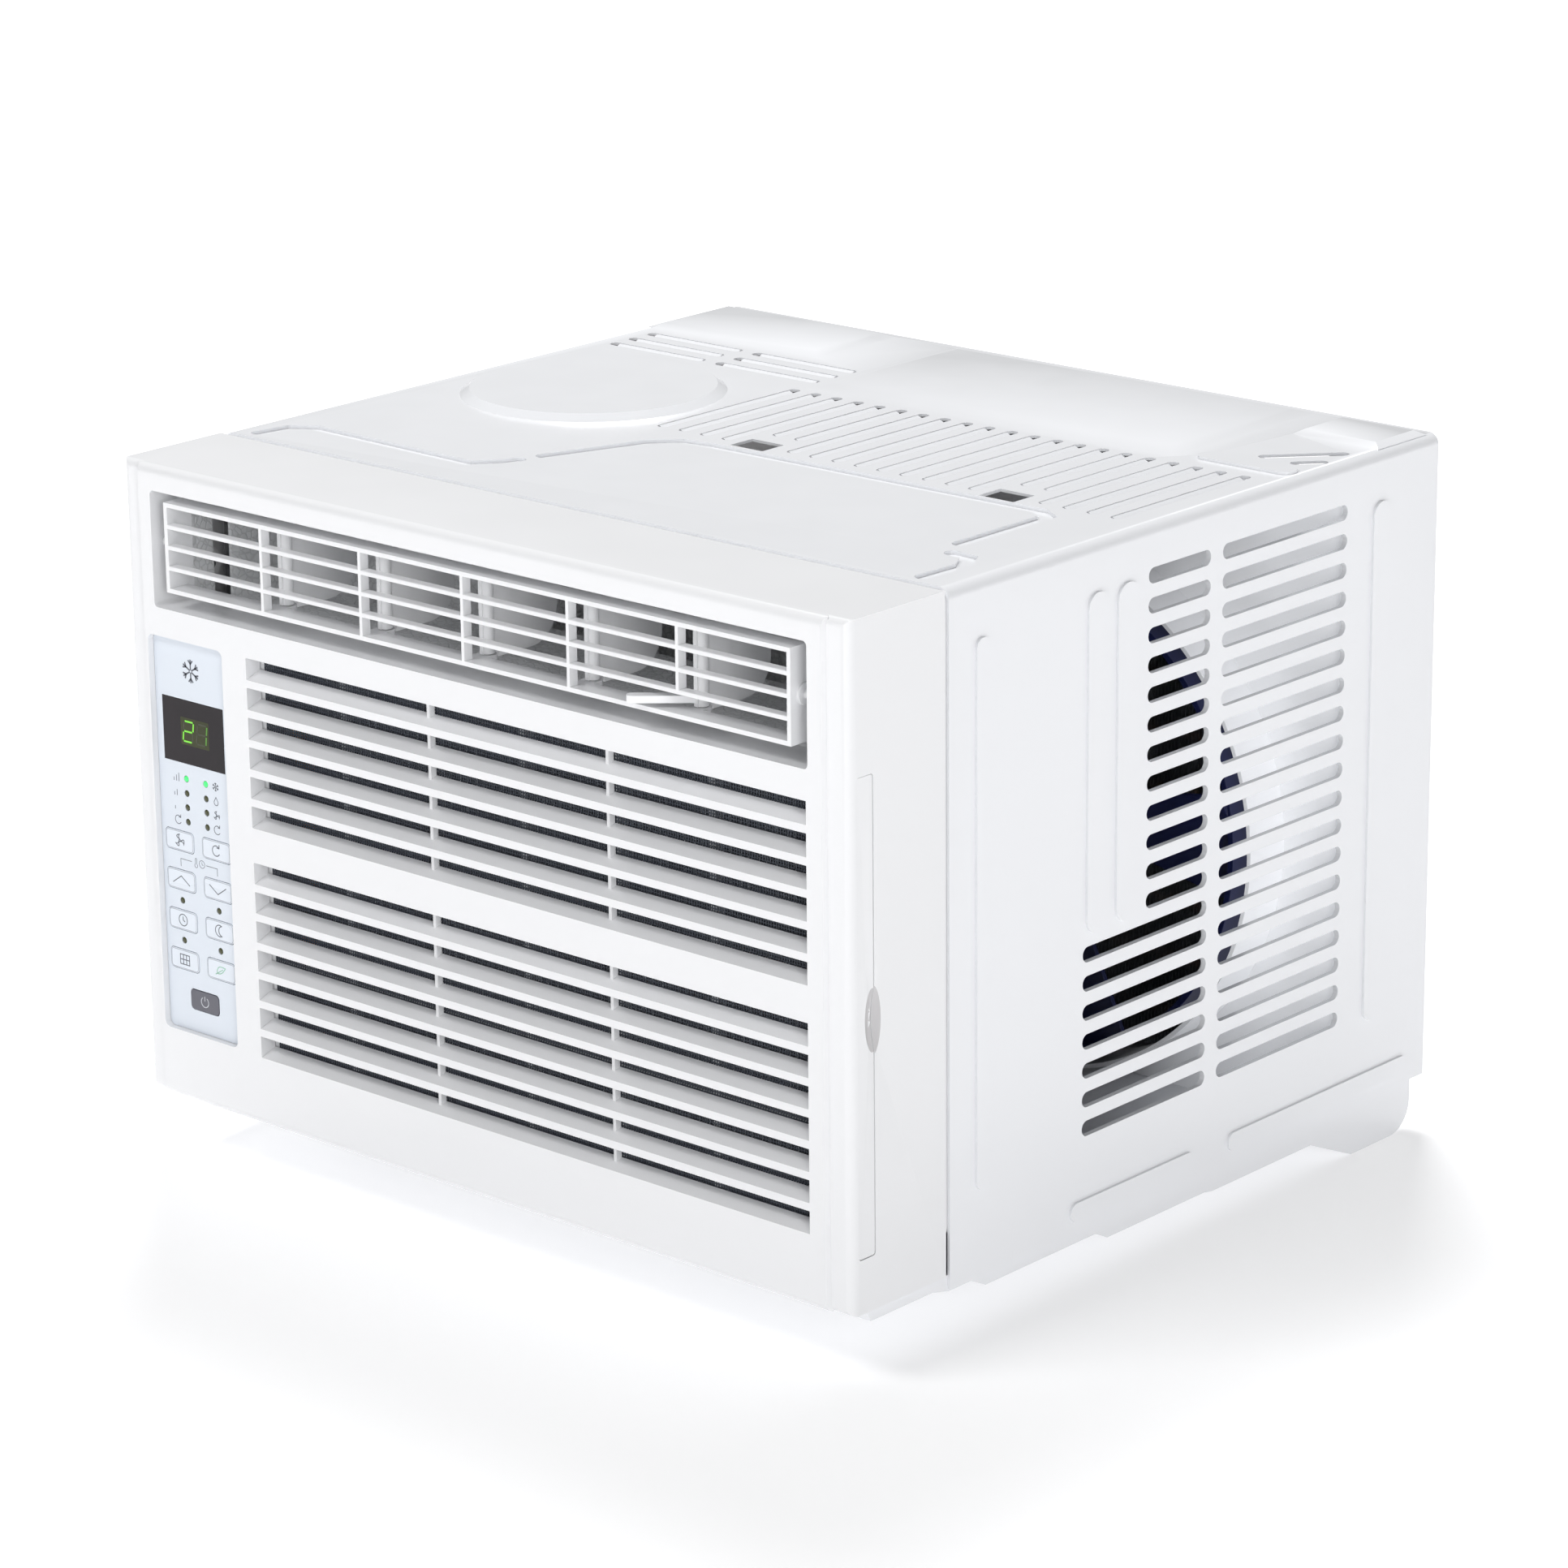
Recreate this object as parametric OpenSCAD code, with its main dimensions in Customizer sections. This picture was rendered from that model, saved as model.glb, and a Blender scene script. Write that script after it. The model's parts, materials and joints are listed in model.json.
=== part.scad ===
// Window air conditioner: steel case over a base pan, moulded bezel with a tilting
// louvre, slide-out filter, control panel, and the fan and cooling circuit inside.
// Measured from the bezel: x = 0 is the centre line, y = 0 the bezel's outer front
// band, z = 0 the bezel's bottom edge. placed() moves all of it so that the origin
// is the centre of the footprint, on the surface that the feet stand on.

/* [Case] */
// Width over the bezel and the steel case
case_w = 406; // [405:1:407]
// Height of the case top above the bezel's bottom edge
case_top = 283.4; // [283.4:0.2:284]
// Distance from the bezel's front band to the rear edge of the case
case_back = 384; // [384:1:386]
// Thickness of the steel sheet
sheet_t = 1.2; // [1:0.1:1.2]
// How far the feet reach below the bezel's bottom edge
foot_drop = 30; // [29:0.5:32]

/* [Bezel] */
// Height of the bezel
bezel_h = 283; // [283:0.2:283.4]
// Depth of the bezel from its front band to its rear edge
bezel_d = 56.9; // [56.5:0.1:57]
// Wall thickness of the bezel
bezel_wall = 2.5; // [2.4:0.1:2.6]
// How far the centre face stands in front of the side bands
plate_proud = 2.1; // [1.8:0.1:2.4]

/* [Louvre] */
// Height of the louvre's tilt axis
tilt_z = 248.7; // [248.5:0.1:249]
// Distance of the tilt axis behind the bezel's front band
tilt_y = 6; // [6:0.1:6.2]
// Spacing of the five air vanes
vane_pitch = 58.5; // [58:0.25:58.5]

/* [Fan] */
// Distance of the fan shaft to the right of the centre line
shaft_x = 50; // [49:0.5:51]
// Height of the fan shaft above the bezel's bottom edge
shaft_z = 108; // [107:0.5:109]
// Outer radius of the condenser fan's slinger ring
fan_r = 114; // [112:0.5:114]
// Number of blades on the condenser fan
fan_blades = 5; // [4:1:6]
// Number of blades on the blower wheel
wheel_blades = 36; // [30:1:40]

/* [Controls] */
// Width of a key
key_w = 17.4; // [17:0.1:17.6]
// Height of a key
key_h = 9; // [8.6:0.1:9]
// Gap around a key
key_gap = 0.3; // [0.3:0.05:0.35]

/* [Hidden] */

$fn = 64;
cut = 1;                                  // how far a cutting shape runs past a face
half_w = case_w / 2;
inner_x = half_w - sheet_t;               // inner face of the case's side sheet
front_y = -8;                             // tip of the air vane lever
screw_proud = 1.6;                        // height of a screw head
origin_y = (front_y + case_back + screw_proud) / 2;

// Colours
white = [0.93, 0.94, 0.95];
pale_blue = [0.86, 0.89, 0.93];
vane_grey = [0.80, 0.81, 0.83];
galvanised = [0.66, 0.67, 0.69];
copper = [0.72, 0.42, 0.26];
fin_metal = [0.78, 0.80, 0.82];
foam_white = [0.90, 0.91, 0.90];
navy = [0.09, 0.11, 0.25];
black = [0.06, 0.06, 0.07];
rubber_black = [0.10, 0.10, 0.11];

module placed() { translate([0, -origin_y, foot_drop]) children(); }

// ---- Extrusions along each axis, from a 2D shape drawn in the other two ----
module along_z(z0, z1) { translate([0, 0, z0]) linear_extrude(z1 - z0) children(); }
module along_y(y0, y1) { translate([0, y1, 0]) rotate([90, 0, 0]) linear_extrude(y1 - y0) children(); }
module along_x(x0, x1) { translate([x0, 0, 0]) rotate([90, 0, 90]) linear_extrude(x1 - x0) children(); }
module block(x0, x1, y0, y1, z0, z1) { translate([x0, y0, z0]) cube([x1 - x0, y1 - y0, z1 - z0]); }
module both_sides() { children(); mirror([1, 0, 0]) children(); }
module rod_y(x, z, r, y0, y1) { translate([x, y0, z]) rotate([-90, 0, 0]) cylinder(r = r, h = y1 - y0); }
module rod_x(y, z, r, x0, x1) { translate([x0, y, z]) rotate([0, 90, 0]) cylinder(r = r, h = x1 - x0); }
module rod_z(x, y, r, z0, z1) { translate([x, y, z0]) cylinder(r = r, h = z1 - z0); }

// Rectangle between two corners, sharp or with round corners
module rect_2d(a0, a1, b0, b1) { translate([a0, b0]) square([a1 - a0, b1 - b0]); }
module round_rect_2d(a0, a1, b0, b1, r) {
    rect_2d(a0 + r, a1 - r, b0, b1);
    rect_2d(a0, a1, b0 + r, b1 - r);
    for (a = [a0 + r, a1 - r], b = [b0 + r, b1 - r]) translate([a, b]) circle(r);
}
// Slot with full-round ends between two corners, along its longer side
module slot_2d(a0, a1, b0, b1) { round_rect_2d(a0, a1, b0, b1, min(a1 - a0, b1 - b0) / 2 - 0.01); }
// Outline of a band of width w along a list of points, mitred at its corners
function unit(v) = v / norm(v);
function square_to(v) = [-v.y, v.x];
function band(points, w) =
    let (last = len(points) - 1,
        way = [for (i = [0 : last - 1]) unit(points[i + 1] - points[i])],
        side = [for (i = [0 : last]) let (a = way[max(i - 1, 0)], b = way[min(i, last - 1)],
            n = square_to(unit(a + b))) n * (w / 2) / (n * square_to(a))])
    concat([for (i = [0 : last]) points[i] + side[i]],
        [for (i = [last : -1 : 0]) points[i] - side[i]]);
// Band with round ends
module groove_2d(points, w) {
    polygon(band(points, w));
    for (p = [points[0], points[len(points) - 1]]) translate(p) circle(w / 2);
}
// Slot of width w between two points
module slanted_slot_2d(from, to, w) {
    d = to - from;
    translate(from) rotate(atan2(d.y, d.x)) slot_2d(-w / 2, norm(d) + w / 2, -w / 2, w / 2);
}
// Pipe of radius r along a list of points, with ball elbows a little wider than it
module pipe(points, r) {
    for (i = [1 : len(points) - 2]) translate(points[i]) sphere(r * 1.15);
    for (i = [0 : len(points) - 2]) {
        d = points[i + 1] - points[i];
        translate(points[i])
            rotate([0, atan2(norm([d.x, d.y]), d.z), atan2(d.y, d.x)]) cylinder(r = r, h = norm(d));
    }
}
// Hexagonal nut standing on z = 0 with a round bore
module hex_nut(across, thick, bore_r) {
    difference() {
        cylinder(d = across / cos(30), h = thick, $fn = 6);
        translate([0, 0, -cut]) cylinder(r = bore_r, h = thick + 2 * cut);
    }
}

// ---- Base pan: a stepped tray with pressed feet at the rear corners ----
pan_half = inner_x;                       // the pan's side walls lie against the case
pan_front = 10;
pan_back = 376;
pan_rim = 14;                             // top of the pan's side walls
foot_x0 = 150;                            // inner side of a rear foot
foot_corner_r = 14;
pan_floor_mid = -12;
pan_floor_rear = -17;
front_foot_x = 110;
front_foot_y = 112;
front_foot_r = 13;
sill_bolt_x = 150;
sill_bolt_y = 128;
sill_bolt_r = 2.6;
drain_x = -60;
drain_y = 352;
drain_r = 7;
drain_len = 8;

pan_floor = [[50, -5], [60, -7.5], [74, -7.5], [83, pan_floor_mid], [154, pan_floor_mid],
    [162, -16], [228, -16], [233, pan_floor_rear]];
function raised(points, lift) = [for (p = points) [p.x, p.y + lift]];
module pan_outer_2d() {
    polygon(concat([[pan_front, -0.3], [pan_front + 2, -5]], pan_floor,
        [[pan_back, pan_floor_rear], [pan_back, pan_rim], [60.5, pan_rim], [60.5, -0.3]]));
}
module pan_inner_2d() {
    polygon(concat([[pan_front + sheet_t, pan_rim + cut], [pan_front + 2 + sheet_t, -5 + sheet_t]],
        raised(pan_floor, sheet_t), [[pan_back - sheet_t, pan_floor_rear + sheet_t],
        [pan_back - sheet_t, pan_rim + cut]]));
}
module foot_2d(wall) {
    centre = [pan_back - foot_corner_r, foot_corner_r - foot_drop];
    polygon([[303 + wall, pan_floor_rear + wall / 2], [333 + wall / 2, wall - foot_drop],
        [centre.x, wall - foot_drop], [centre.x, centre.y], [pan_back - wall, centre.y],
        [pan_back - wall, -10 + wall], [303 + wall, -10 + wall]]);
    translate(centre) circle(foot_corner_r - wall);
}
compressor_x = -131;
compressor_y = 214;
compressor_feet_r = 62;
plinth_top = -12;
stud_r = 3;
module at_compressor_feet() {
    for (a = [90, 210, 330])
        translate([compressor_x + compressor_feet_r * cos(a), compressor_y + compressor_feet_r * sin(a), 0])
            children();
}
module base_pan() {
    color(white) placed() {
        difference() {
            union() {
                along_x(-pan_half, pan_half) pan_outer_2d();
                both_sides() along_x(foot_x0, pan_half) foot_2d(0);
            }
            along_x(sheet_t - pan_half, pan_half - sheet_t) pan_inner_2d();
            both_sides() along_x(foot_x0 + sheet_t, pan_half - sheet_t) foot_2d(sheet_t);
            both_sides() rod_z(sill_bolt_x, sill_bolt_y, sill_bolt_r, -20, -5);
            rod_z(drain_x, drain_y, drain_r, -20, 0);
        }
        at_compressor_feet() along_z(sheet_t - 17.2, plinth_top) circle(12);
        at_compressor_feet() along_z(plinth_top - cut, plinth_top + 26) circle(stud_r);
        difference() {
            rod_z(drain_x, drain_y, drain_r + 2, pan_floor_rear, pan_floor_rear + drain_len);
            rod_z(drain_x, drain_y, drain_r, -20, 0);
        }
    }
}
module front_feet() {
    foot_h = foot_drop + pan_floor_mid;
    color(rubber_black) placed() both_sides() translate([front_foot_x, front_foot_y, -foot_drop])
        rotate_extrude() polygon([[0, 0], [front_foot_r - 2, 0], [front_foot_r - 1, 1.5],
            [front_foot_r, foot_h], [0, foot_h]]);
}

// ---- Steel case: top and two sides in one bent sheet, pressed and slotted ----
seam = 2.3;                               // shadow gap between bezel and case
case_front = bezel_d + seam;
case_side_z = -6.5;
case_bend_r = 5;
rear_flange = 12;
slot_h = 6.7;
slot_pitch = 12.49;
slot_rows = 19;
slot_top_z = 265.3;                       // upper edge of the highest side slot
full_rows = 12;                           // rows whose front slot is the short one
rim_t = 1.3;                              // drawn rim inside a slotted field
bead_h = 1.2;
panel_h = 2;
boss_r = 59.5;
boss_h = 3;
groove_w = 7;
groove_depth = 1.5;
louvre_pitch = 12.4;
louvre_w = 5.5;
louvre_x0 = -62.6;
louvres = 21;
groove_left = [[-189, 66.5], [-186, 82], [-177, 88], [-81.5, 85], [-72, 96], [-69, 102.4]];
groove_middle = [[-65, 114], [-48, 160], [-38, 170], [-25, 172], [155, 174], [163, 169], [163, 114]];
groove_right = [[170, 101], [179, 100], [185, 90], [184, 66.5]];
hatch_y = 185;
hatch_x = [-8, 128.7];

module case_profile_2d(inset) {
    w = half_w - inset;
    r = case_bend_r - inset;
    rect_2d(-w, w, case_side_z - (inset > 0 ? cut : 0), case_top - case_bend_r);
    rect_2d(-(w - r), w - r, case_top - case_bend_r - cut, case_top - inset);
    for (s = [-1, 1]) translate([s * (w - r), case_top - case_bend_r]) circle(r);
}
module side_slots_2d() {
    for (row = [0 : slot_rows - 1]) {
        z1 = slot_top_z - row * slot_pitch;
        slot_2d(233, 319, z1 - slot_h, z1);
        slot_2d(row < full_rows ? 184 : 143, 225, z1 - slot_h, z1);
    }
}
module side_beads_2d() {
    slot_2d(74.8, 83.1, 31, 260);
    slot_2d(144.4, 157.5, 120.6, 263);
    slot_2d(163.3, 177.3, 120.6, 263);
    slot_2d(336.7, 349.2, 30, 262);
    slot_2d(135, 217.5, -1.5, 6.7);
    slot_2d(241, 370, -1.5, 6.7);
}
// Raised field with sloping walls on the case top
module top_panel(x0, x1, y0, y1, slope) {
    z0 = case_top - 0.2;
    z1 = case_top + panel_h;
    intersection() {
        along_y(y0, y1) polygon([[x0, z0], [x1, z0], [x1 - slope, z1], [x0 + slope, z1]]);
        along_x(x0, x1) polygon([[y0, z0], [y1, z0], [y1 - slope, z1], [y0 + slope, z1]]);
    }
}
// Lanced louvre: a slit with a sloping slat that closes all but its right side
function louvre_y0(i) = (i == 4 || i == 5 || i == 15 || i == 16) ? 201.7 : 183;
module top_slots_2d() {
    for (i = [0 : louvres - 1]) {
        x = louvre_x0 + i * louvre_pitch;
        slot_2d(x - louvre_w / 2, x + louvre_w / 2, louvre_y0(i), 273);
    }
    for (x = hatch_x) rect_2d(x - 9, x + 9, hatch_y - 7, hatch_y + 7);
    for (y = [289.3, 301.7, 314.3]) {
        slot_2d(-191, -133.5, y - louvre_w / 2, y + louvre_w / 2);
        slot_2d(-126, -65, y - louvre_w / 2, y + louvre_w / 2);
    }
    slanted_slot_2d([170.5, 304.3], [193.2, 328.4], louvre_w);
    slanted_slot_2d([187.6, 303.4], [194.8, 311.2], louvre_w);
}
module slat_2d() {
    polygon([[-louvre_w / 2, -0.3], [-louvre_w / 2, -1.1], [louvre_w / 2 - 0.9, -3.2], [louvre_w / 2 - 0.9, -2.4]]);
}
module top_slats() {
    for (i = [0 : louvres - 1])
        translate([louvre_x0 + i * louvre_pitch, 0, case_top])
            along_y(louvre_y0(i) + louvre_w / 2, 273 - louvre_w / 2) slat_2d();
    for (y = [289.3, 301.7, 314.3], span = [[-191, -133.5], [-126, -65]])
        translate([0, y, case_top])
            along_x(span[0] + louvre_w / 2, span[1] - louvre_w / 2) mirror([1, 0]) slat_2d();
}
module wrap_cabinet() {
    color(white) placed() {
        difference() {
            union() {
                along_y(case_front, case_back) difference() {
                    case_profile_2d(0);
                    case_profile_2d(sheet_t);
                }
                // drawn rims behind the side slots
                both_sides() along_x(inner_x - rim_t, inner_x) rect_2d(138, 324, 27, 270);
                both_sides() along_x(half_w, half_w + bead_h) side_beads_2d();
                // backing of the pressed grooves
                along_z(case_top - sheet_t - groove_depth, case_top - sheet_t) {
                    groove_2d(groove_left, groove_w + 2 * sheet_t);
                    groove_2d(groove_middle, groove_w + 2 * sheet_t);
                    groove_2d(groove_right, groove_w + 2 * sheet_t);
                }
                translate([compressor_x, compressor_y, case_top - 0.2])
                    cylinder(r1 = boss_r, r2 = boss_r - 4.5, h = boss_h + 0.2);
                top_panel(-62, 141, 279.5, 381, 8);
                top_panel(-202, -97, 325, 381, 6);
                top_panel(155, 200, 344, 379, 4);
                along_z(case_top, case_top + bead_h) slot_2d(148.5, 197.8, 283, 294);
                along_y(case_back - sheet_t, case_back) difference() {
                    case_profile_2d(0);
                    rect_2d(-half_w + rear_flange, half_w - rear_flange, case_side_z - cut, case_top - rear_flange);
                }
            }
            both_sides() along_x(inner_x - rim_t - cut, half_w + cut) side_slots_2d();
            along_z(case_top - sheet_t - cut, case_top + cut) top_slots_2d();
            along_z(case_top - groove_depth, case_top + cut) {
                groove_2d(groove_left, groove_w);
                groove_2d(groove_middle, groove_w);
                groove_2d(groove_right, groove_w);
            }
            at_guard_screws() rod_y(0, 0, guard_screw_r + 0.1, case_back - 2 * sheet_t, case_back + cut);
        }
        top_slats();
    }
}

// ---- Rear guard: slotted sheet screwed inside the case's rear flange ----
guard_y1 = case_back - sheet_t;
guard_y0 = guard_y1 - sheet_t;
guard_half = 200;
guard_z0 = -6;
guard_z1 = 280;
guard_screw_r = 1.9;
module at_guard_screws() {
    for (x = [-half_w + 6, half_w - 6], z = [30, 140, 250]) translate([x, 0, z]) children();
    for (x = [-110, 110]) translate([x, 0, case_top - 6.5]) children();
}
module guard_slots_2d() {
    for (row = [0 : 18], column = [-2 : 1]) {
        z1 = slot_top_z - row * slot_pitch;
        slot_2d(column * 93 + 6, column * 93 + 87, z1 - slot_h, z1);
    }
}
module rear_guard() {
    color(white) placed() {
        difference() {
            along_y(guard_y0, guard_y1) rect_2d(-guard_half, guard_half, guard_z0, guard_z1);
            along_y(guard_y0 - cut, guard_y1 + cut) guard_slots_2d();
            at_guard_screws() rod_y(0, 0, guard_screw_r + 0.1, guard_y0 - cut, guard_y1 + cut);
        }
        // lip that stands against the pan's rear wall
        block(-guard_half, guard_half, pan_back, guard_y0, guard_z0, guard_z0 + sheet_t);
    }
}
module pan_screw(r_head, r_shank, length) {
    difference() {
        union() {
            cylinder(r1 = r_head, r2 = r_head - 0.8, h = screw_proud);
            translate([0, 0, -length]) cylinder(r = r_shank, h = length);
        }
        for (a = [0, 90]) rotate(a) translate([-r_head * 0.55, -0.4, screw_proud - 0.9])
            cube([r_head * 1.1, 0.8, 2]);
    }
}
module cabinet_screws() {
    color(galvanised) placed()
        at_guard_screws() translate([0, case_back, 0]) rotate([-90, 0, 0]) pan_screw(3.8, guard_screw_r, 8);
}

// ---- Bezel ----
plate_half = 191;
bezel_edge_r = 4.5;
outlet = [-184, 184, 221.5, 272.3];       // discharge opening: x0, x1, z0, z1
tunnel_back = 20;
tunnel_t = 2;
grille_x0 = -128.7;
grille_x1 = 183;
bar_pitch = 13;
bar_gap = 9.6;
bar_depth = 8;
bar_rise = 2.9;
grille_upper_z = 208.9;                   // top of the highest opening in each block
grille_upper_rows = 6;
grille_lower_z = 118.9;
grille_lower_rows = 7;
grille_back = bar_depth - plate_proud;
mullions = [-26, 74];
panel_x = -166.4;                         // centre of the control panel
panel_half = 22.9;
panel_z0 = 32;
panel_z1 = 208.9;
panel_floor_y = 1.5;                      // floor that the overlay is stuck to
panel_back_y = 4;
overlay_t = 0.6;
window_z0 = 153.5;
window_z1 = 182;
window_half = 18.9;
led_r = 1.3;
led_columns = [panel_x - 5.8, panel_x + 6.2];
led_rows = [146.6, 140.1, 133.8, 127.3];
key_columns = [panel_x - 11.6, panel_x + 11.3];
key_rows = [117.9, 100.1, 81.9, 63.8];
power_key_z = 46.9;
status_leds = [[key_columns[0], 90.8], [key_columns[1], 90.8], [key_columns[0], 72.7], [key_columns[1], 72.7]];
filter_slot = [4.2, 14.2, 22.9, 220.2];   // slot in the right side: y0, y1, z0, z1
grip_y = 13.2;
grip_z = 120.5;
grip_half_h = 14.25;
grip_depth = 2;
grip_r = 6.5;
gland_y = 40;
gland_z = 20;
gland_hole_r = 7;
cord_bore_r = 3.8;
bezel_screw_y = 40;
bezel_screw_z = [60, 230];
bezel_screw_r = 2;

module bezel_plan_2d() {
    rect_2d(-half_w, half_w, bezel_edge_r, bezel_d);
    rect_2d(bezel_edge_r - half_w, half_w - bezel_edge_r, 0, bezel_d);
    for (s = [-1, 1]) translate([s * (half_w - bezel_edge_r), bezel_edge_r]) circle(bezel_edge_r);
}
module bezel_side_2d(front, r) {
    rect_2d(front + r, bezel_d, 0, bezel_h);
    rect_2d(front, bezel_d, r, bezel_h - r);
    for (z = [r, bezel_h - r]) translate([front + r, z]) circle(r);
}
module bezel_shell() {
    difference() {
        union() {
            intersection() {
                along_z(0, bezel_h) bezel_plan_2d();
                along_x(-half_w, half_w) bezel_side_2d(0, 3.5);
            }
            intersection() {
                along_z(0, bezel_h) polygon([[-plate_half - 1.4, 1], [-plate_half, -plate_proud],
                    [plate_half, -plate_proud], [plate_half + 1.4, 1], [plate_half - 5, 10], [5 - plate_half, 10]]);
                along_x(-half_w, half_w) bezel_side_2d(-plate_proud, 4);
            }
        }
        block(bezel_wall - half_w, half_w - bezel_wall, bezel_wall, bezel_d + cut, bezel_wall, bezel_h - bezel_wall);
        block(7 - half_w, half_w - 7, 16, bezel_d + cut, -cut, bezel_wall + cut);
    }
}
function block_bottom(top, rows) = top - (rows - 1) * bar_pitch - bar_gap;
module grille_bars(top, rows) {
    for (i = [0 : rows - 1]) {
        z = top - i * bar_pitch - bar_gap;
        along_x(grille_x0, grille_x1) polygon(i == rows - 1
            ? [[-plate_proud, z], [grille_back, z + bar_rise], [grille_back, z - 0.5], [-plate_proud, z - 0.5]]
            : [[-plate_proud, z], [grille_back, z + bar_rise], [grille_back, z + bar_rise - bar_pitch + bar_gap],
                [-plate_proud, z - bar_pitch + bar_gap]]);
    }
}
module key_2d(z, x, grow) {
    round_rect_2d(x - key_w / 2 - grow, x + key_w / 2 + grow, z - key_h / 2 - grow, z + key_h / 2 + grow, 1.8 + grow);
}
module all_keys_2d(grow) {
    for (x = key_columns, z = key_rows) key_2d(z, x, grow);
    key_2d(power_key_z, panel_x, grow);
}
module all_leds_2d(r) {
    for (x = led_columns, z = led_rows) translate([x, z]) circle(r);
    for (p = status_leds) translate(p) circle(r);
}
module finger_grip() {
    arc_r = (grip_half_h * grip_half_h + grip_depth * grip_depth) / (2 * grip_depth);
    translate([half_w + grip_r - grip_depth, grip_y, grip_z]) rotate_extrude() intersection() {
        translate([grip_r - arc_r, 0]) circle(arc_r, $fn = 180);
        rect_2d(0, grip_r + cut, -grip_half_h - 4, grip_half_h + 4);
    }
}
module front_bezel() {
    color(white) placed() {
        difference() {
            union() {
                bezel_shell();
                // frame behind the grille, and backing of the control panel
                block(grille_x0 - 3, grille_x1 + 3, bezel_wall - cut, grille_back, 28, 212);
                block(panel_x - panel_half - 3, panel_x + panel_half + 3, bezel_wall - cut, panel_back_y, 28, 213);
                // tunnel around the discharge opening
                block(outlet[0] - tunnel_t, outlet[1] + tunnel_t, bezel_wall - cut, tunnel_back,
                    outlet[2] - tunnel_t, outlet[3] + tunnel_t);
                // lip that enters the case behind the seam
                along_y(bezel_d - 3, bezel_d + 4.5) difference() {
                    round_rect_2d(0.2 - inner_x, inner_x - 0.2, 16, case_top - sheet_t - 0.2, 4);
                    rect_2d(1.7 - inner_x, inner_x - 1.7, 15, bezel_h - bezel_wall);
                }
                // filter guides above and below the grille frame
                block(-136, 198, bezel_wall - cut, 14, 19.5, 22.5);
                block(-136, 198, 12.6, 14, 22, 27);
                block(-136, 198, 12.6, 14, 214, outlet[2] - tunnel_t);
                block(-136, -134, bezel_wall - cut, 14, 19.5, outlet[2] - tunnel_t);
                block(half_w - 4, half_w - 2, 14.3, 20, 100, 141);
                for (z = bezel_screw_z) rod_x(bezel_screw_y, z, 7, 1 - half_w, 8 - half_w);
            }
            for (b = [[grille_upper_z, grille_upper_rows], [grille_lower_z, grille_lower_rows]])
                block(grille_x0, grille_x1, -3, grille_back + cut, block_bottom(b[0], b[1]), b[0]);
            along_y(-3, tunnel_back + cut) round_rect_2d(outlet[0], outlet[1], outlet[2], outlet[3], 2);
            along_y(-3, panel_floor_y)
                round_rect_2d(panel_x - panel_half, panel_x + panel_half, panel_z0, panel_z1, 3);
            along_y(0, panel_back_y + cut) {
                all_keys_2d(key_gap);
                all_leds_2d(led_r + 0.2);
                rect_2d(panel_x - window_half + 2, panel_x + window_half - 2, window_z0 + 2, window_z1 - 2);
            }
            along_x(half_w - 5, half_w + cut)
                round_rect_2d(filter_slot[0], filter_slot[1], filter_slot[2], filter_slot[3], 1.5);
            finger_grip();
            both_sides() rod_x(tilt_y, tilt_z, pivot_r + 0.05, outlet[1] - cut, outlet[1] + tunnel_t + cut);
            rod_x(gland_y, gland_z, gland_hole_r, -half_w - cut, 4 - half_w);
            for (z = bezel_screw_z) {
                rod_x(bezel_screw_y, z, 4.3, -half_w - cut, 1.9 - half_w);
                rod_x(bezel_screw_y, z, bezel_screw_r + 0.1, -half_w - cut, 9 - half_w);
            }
        }
        grille_bars(grille_upper_z, grille_upper_rows);
        grille_bars(grille_lower_z, grille_lower_rows);
        for (b = [[grille_upper_z, grille_upper_rows], [grille_lower_z, grille_lower_rows]], x = mullions)
            block(x - 0.8, x + 0.8, 2.9, grille_back, block_bottom(b[0], b[1]), b[0]);
    }
}
module bezel_screws() {
    color(galvanised) placed() for (z = bezel_screw_z)
        translate([1.9 - half_w, bezel_screw_y, z]) rotate([0, -90, 0]) pan_screw(4, bezel_screw_r, 8);
}
module cord_gland() {
    color(rubber_black) placed() translate([-half_w, gland_y, gland_z]) rotate([0, 90, 0]) difference() {
        union() {
            cylinder(r = gland_hole_r, h = bezel_wall);
            translate([0, 0, bezel_wall]) cylinder(r = gland_hole_r + 2, h = 3);
        }
        translate([0, 0, -cut]) cylinder(r = cord_bore_r, h = 12);
    }
}
// ---- Slide-out air filter ----
filter_x0 = -133;
filter_y0 = 6.6;
filter_y1 = 12;
filter_z0 = 23.2;
filter_z1 = 213;
net_t = 0.6;
module filter_frame() {
    color(white) placed() difference() {
        union() {
            block(filter_x0, half_w - 2, filter_y0, filter_y1, filter_z0, filter_z1);
            along_x(half_w - 2.4, half_w - 0.3) round_rect_2d(filter_slot[0] + 0.3, filter_slot[1] - 0.3,
                filter_slot[2] + 0.3, filter_slot[3] - 0.3, 1.2);
        }
        difference() {
            block(filter_x0 + 6, half_w - 20, filter_y0 - cut, filter_y1 + cut, filter_z0 + 6, filter_z1 - 6);
            // ribs behind the net
            for (x = [-80.5, -29, 23, 74.5, 126]) block(x - 1.5, x + 1.5, filter_y0 + net_t, 20, 0, 220);
            for (z = [72, 126]) block(filter_x0, half_w, filter_y0 + net_t, 20, z - 1.5, z + 1.5);
        }
        finger_grip();
    }
}
module filter_mesh() {
    color([0.22, 0.24, 0.28]) placed()
        block(filter_x0 + 6, half_w - 20, filter_y0, filter_y0 + net_t, filter_z0 + 6, filter_z1 - 6);
}

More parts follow.
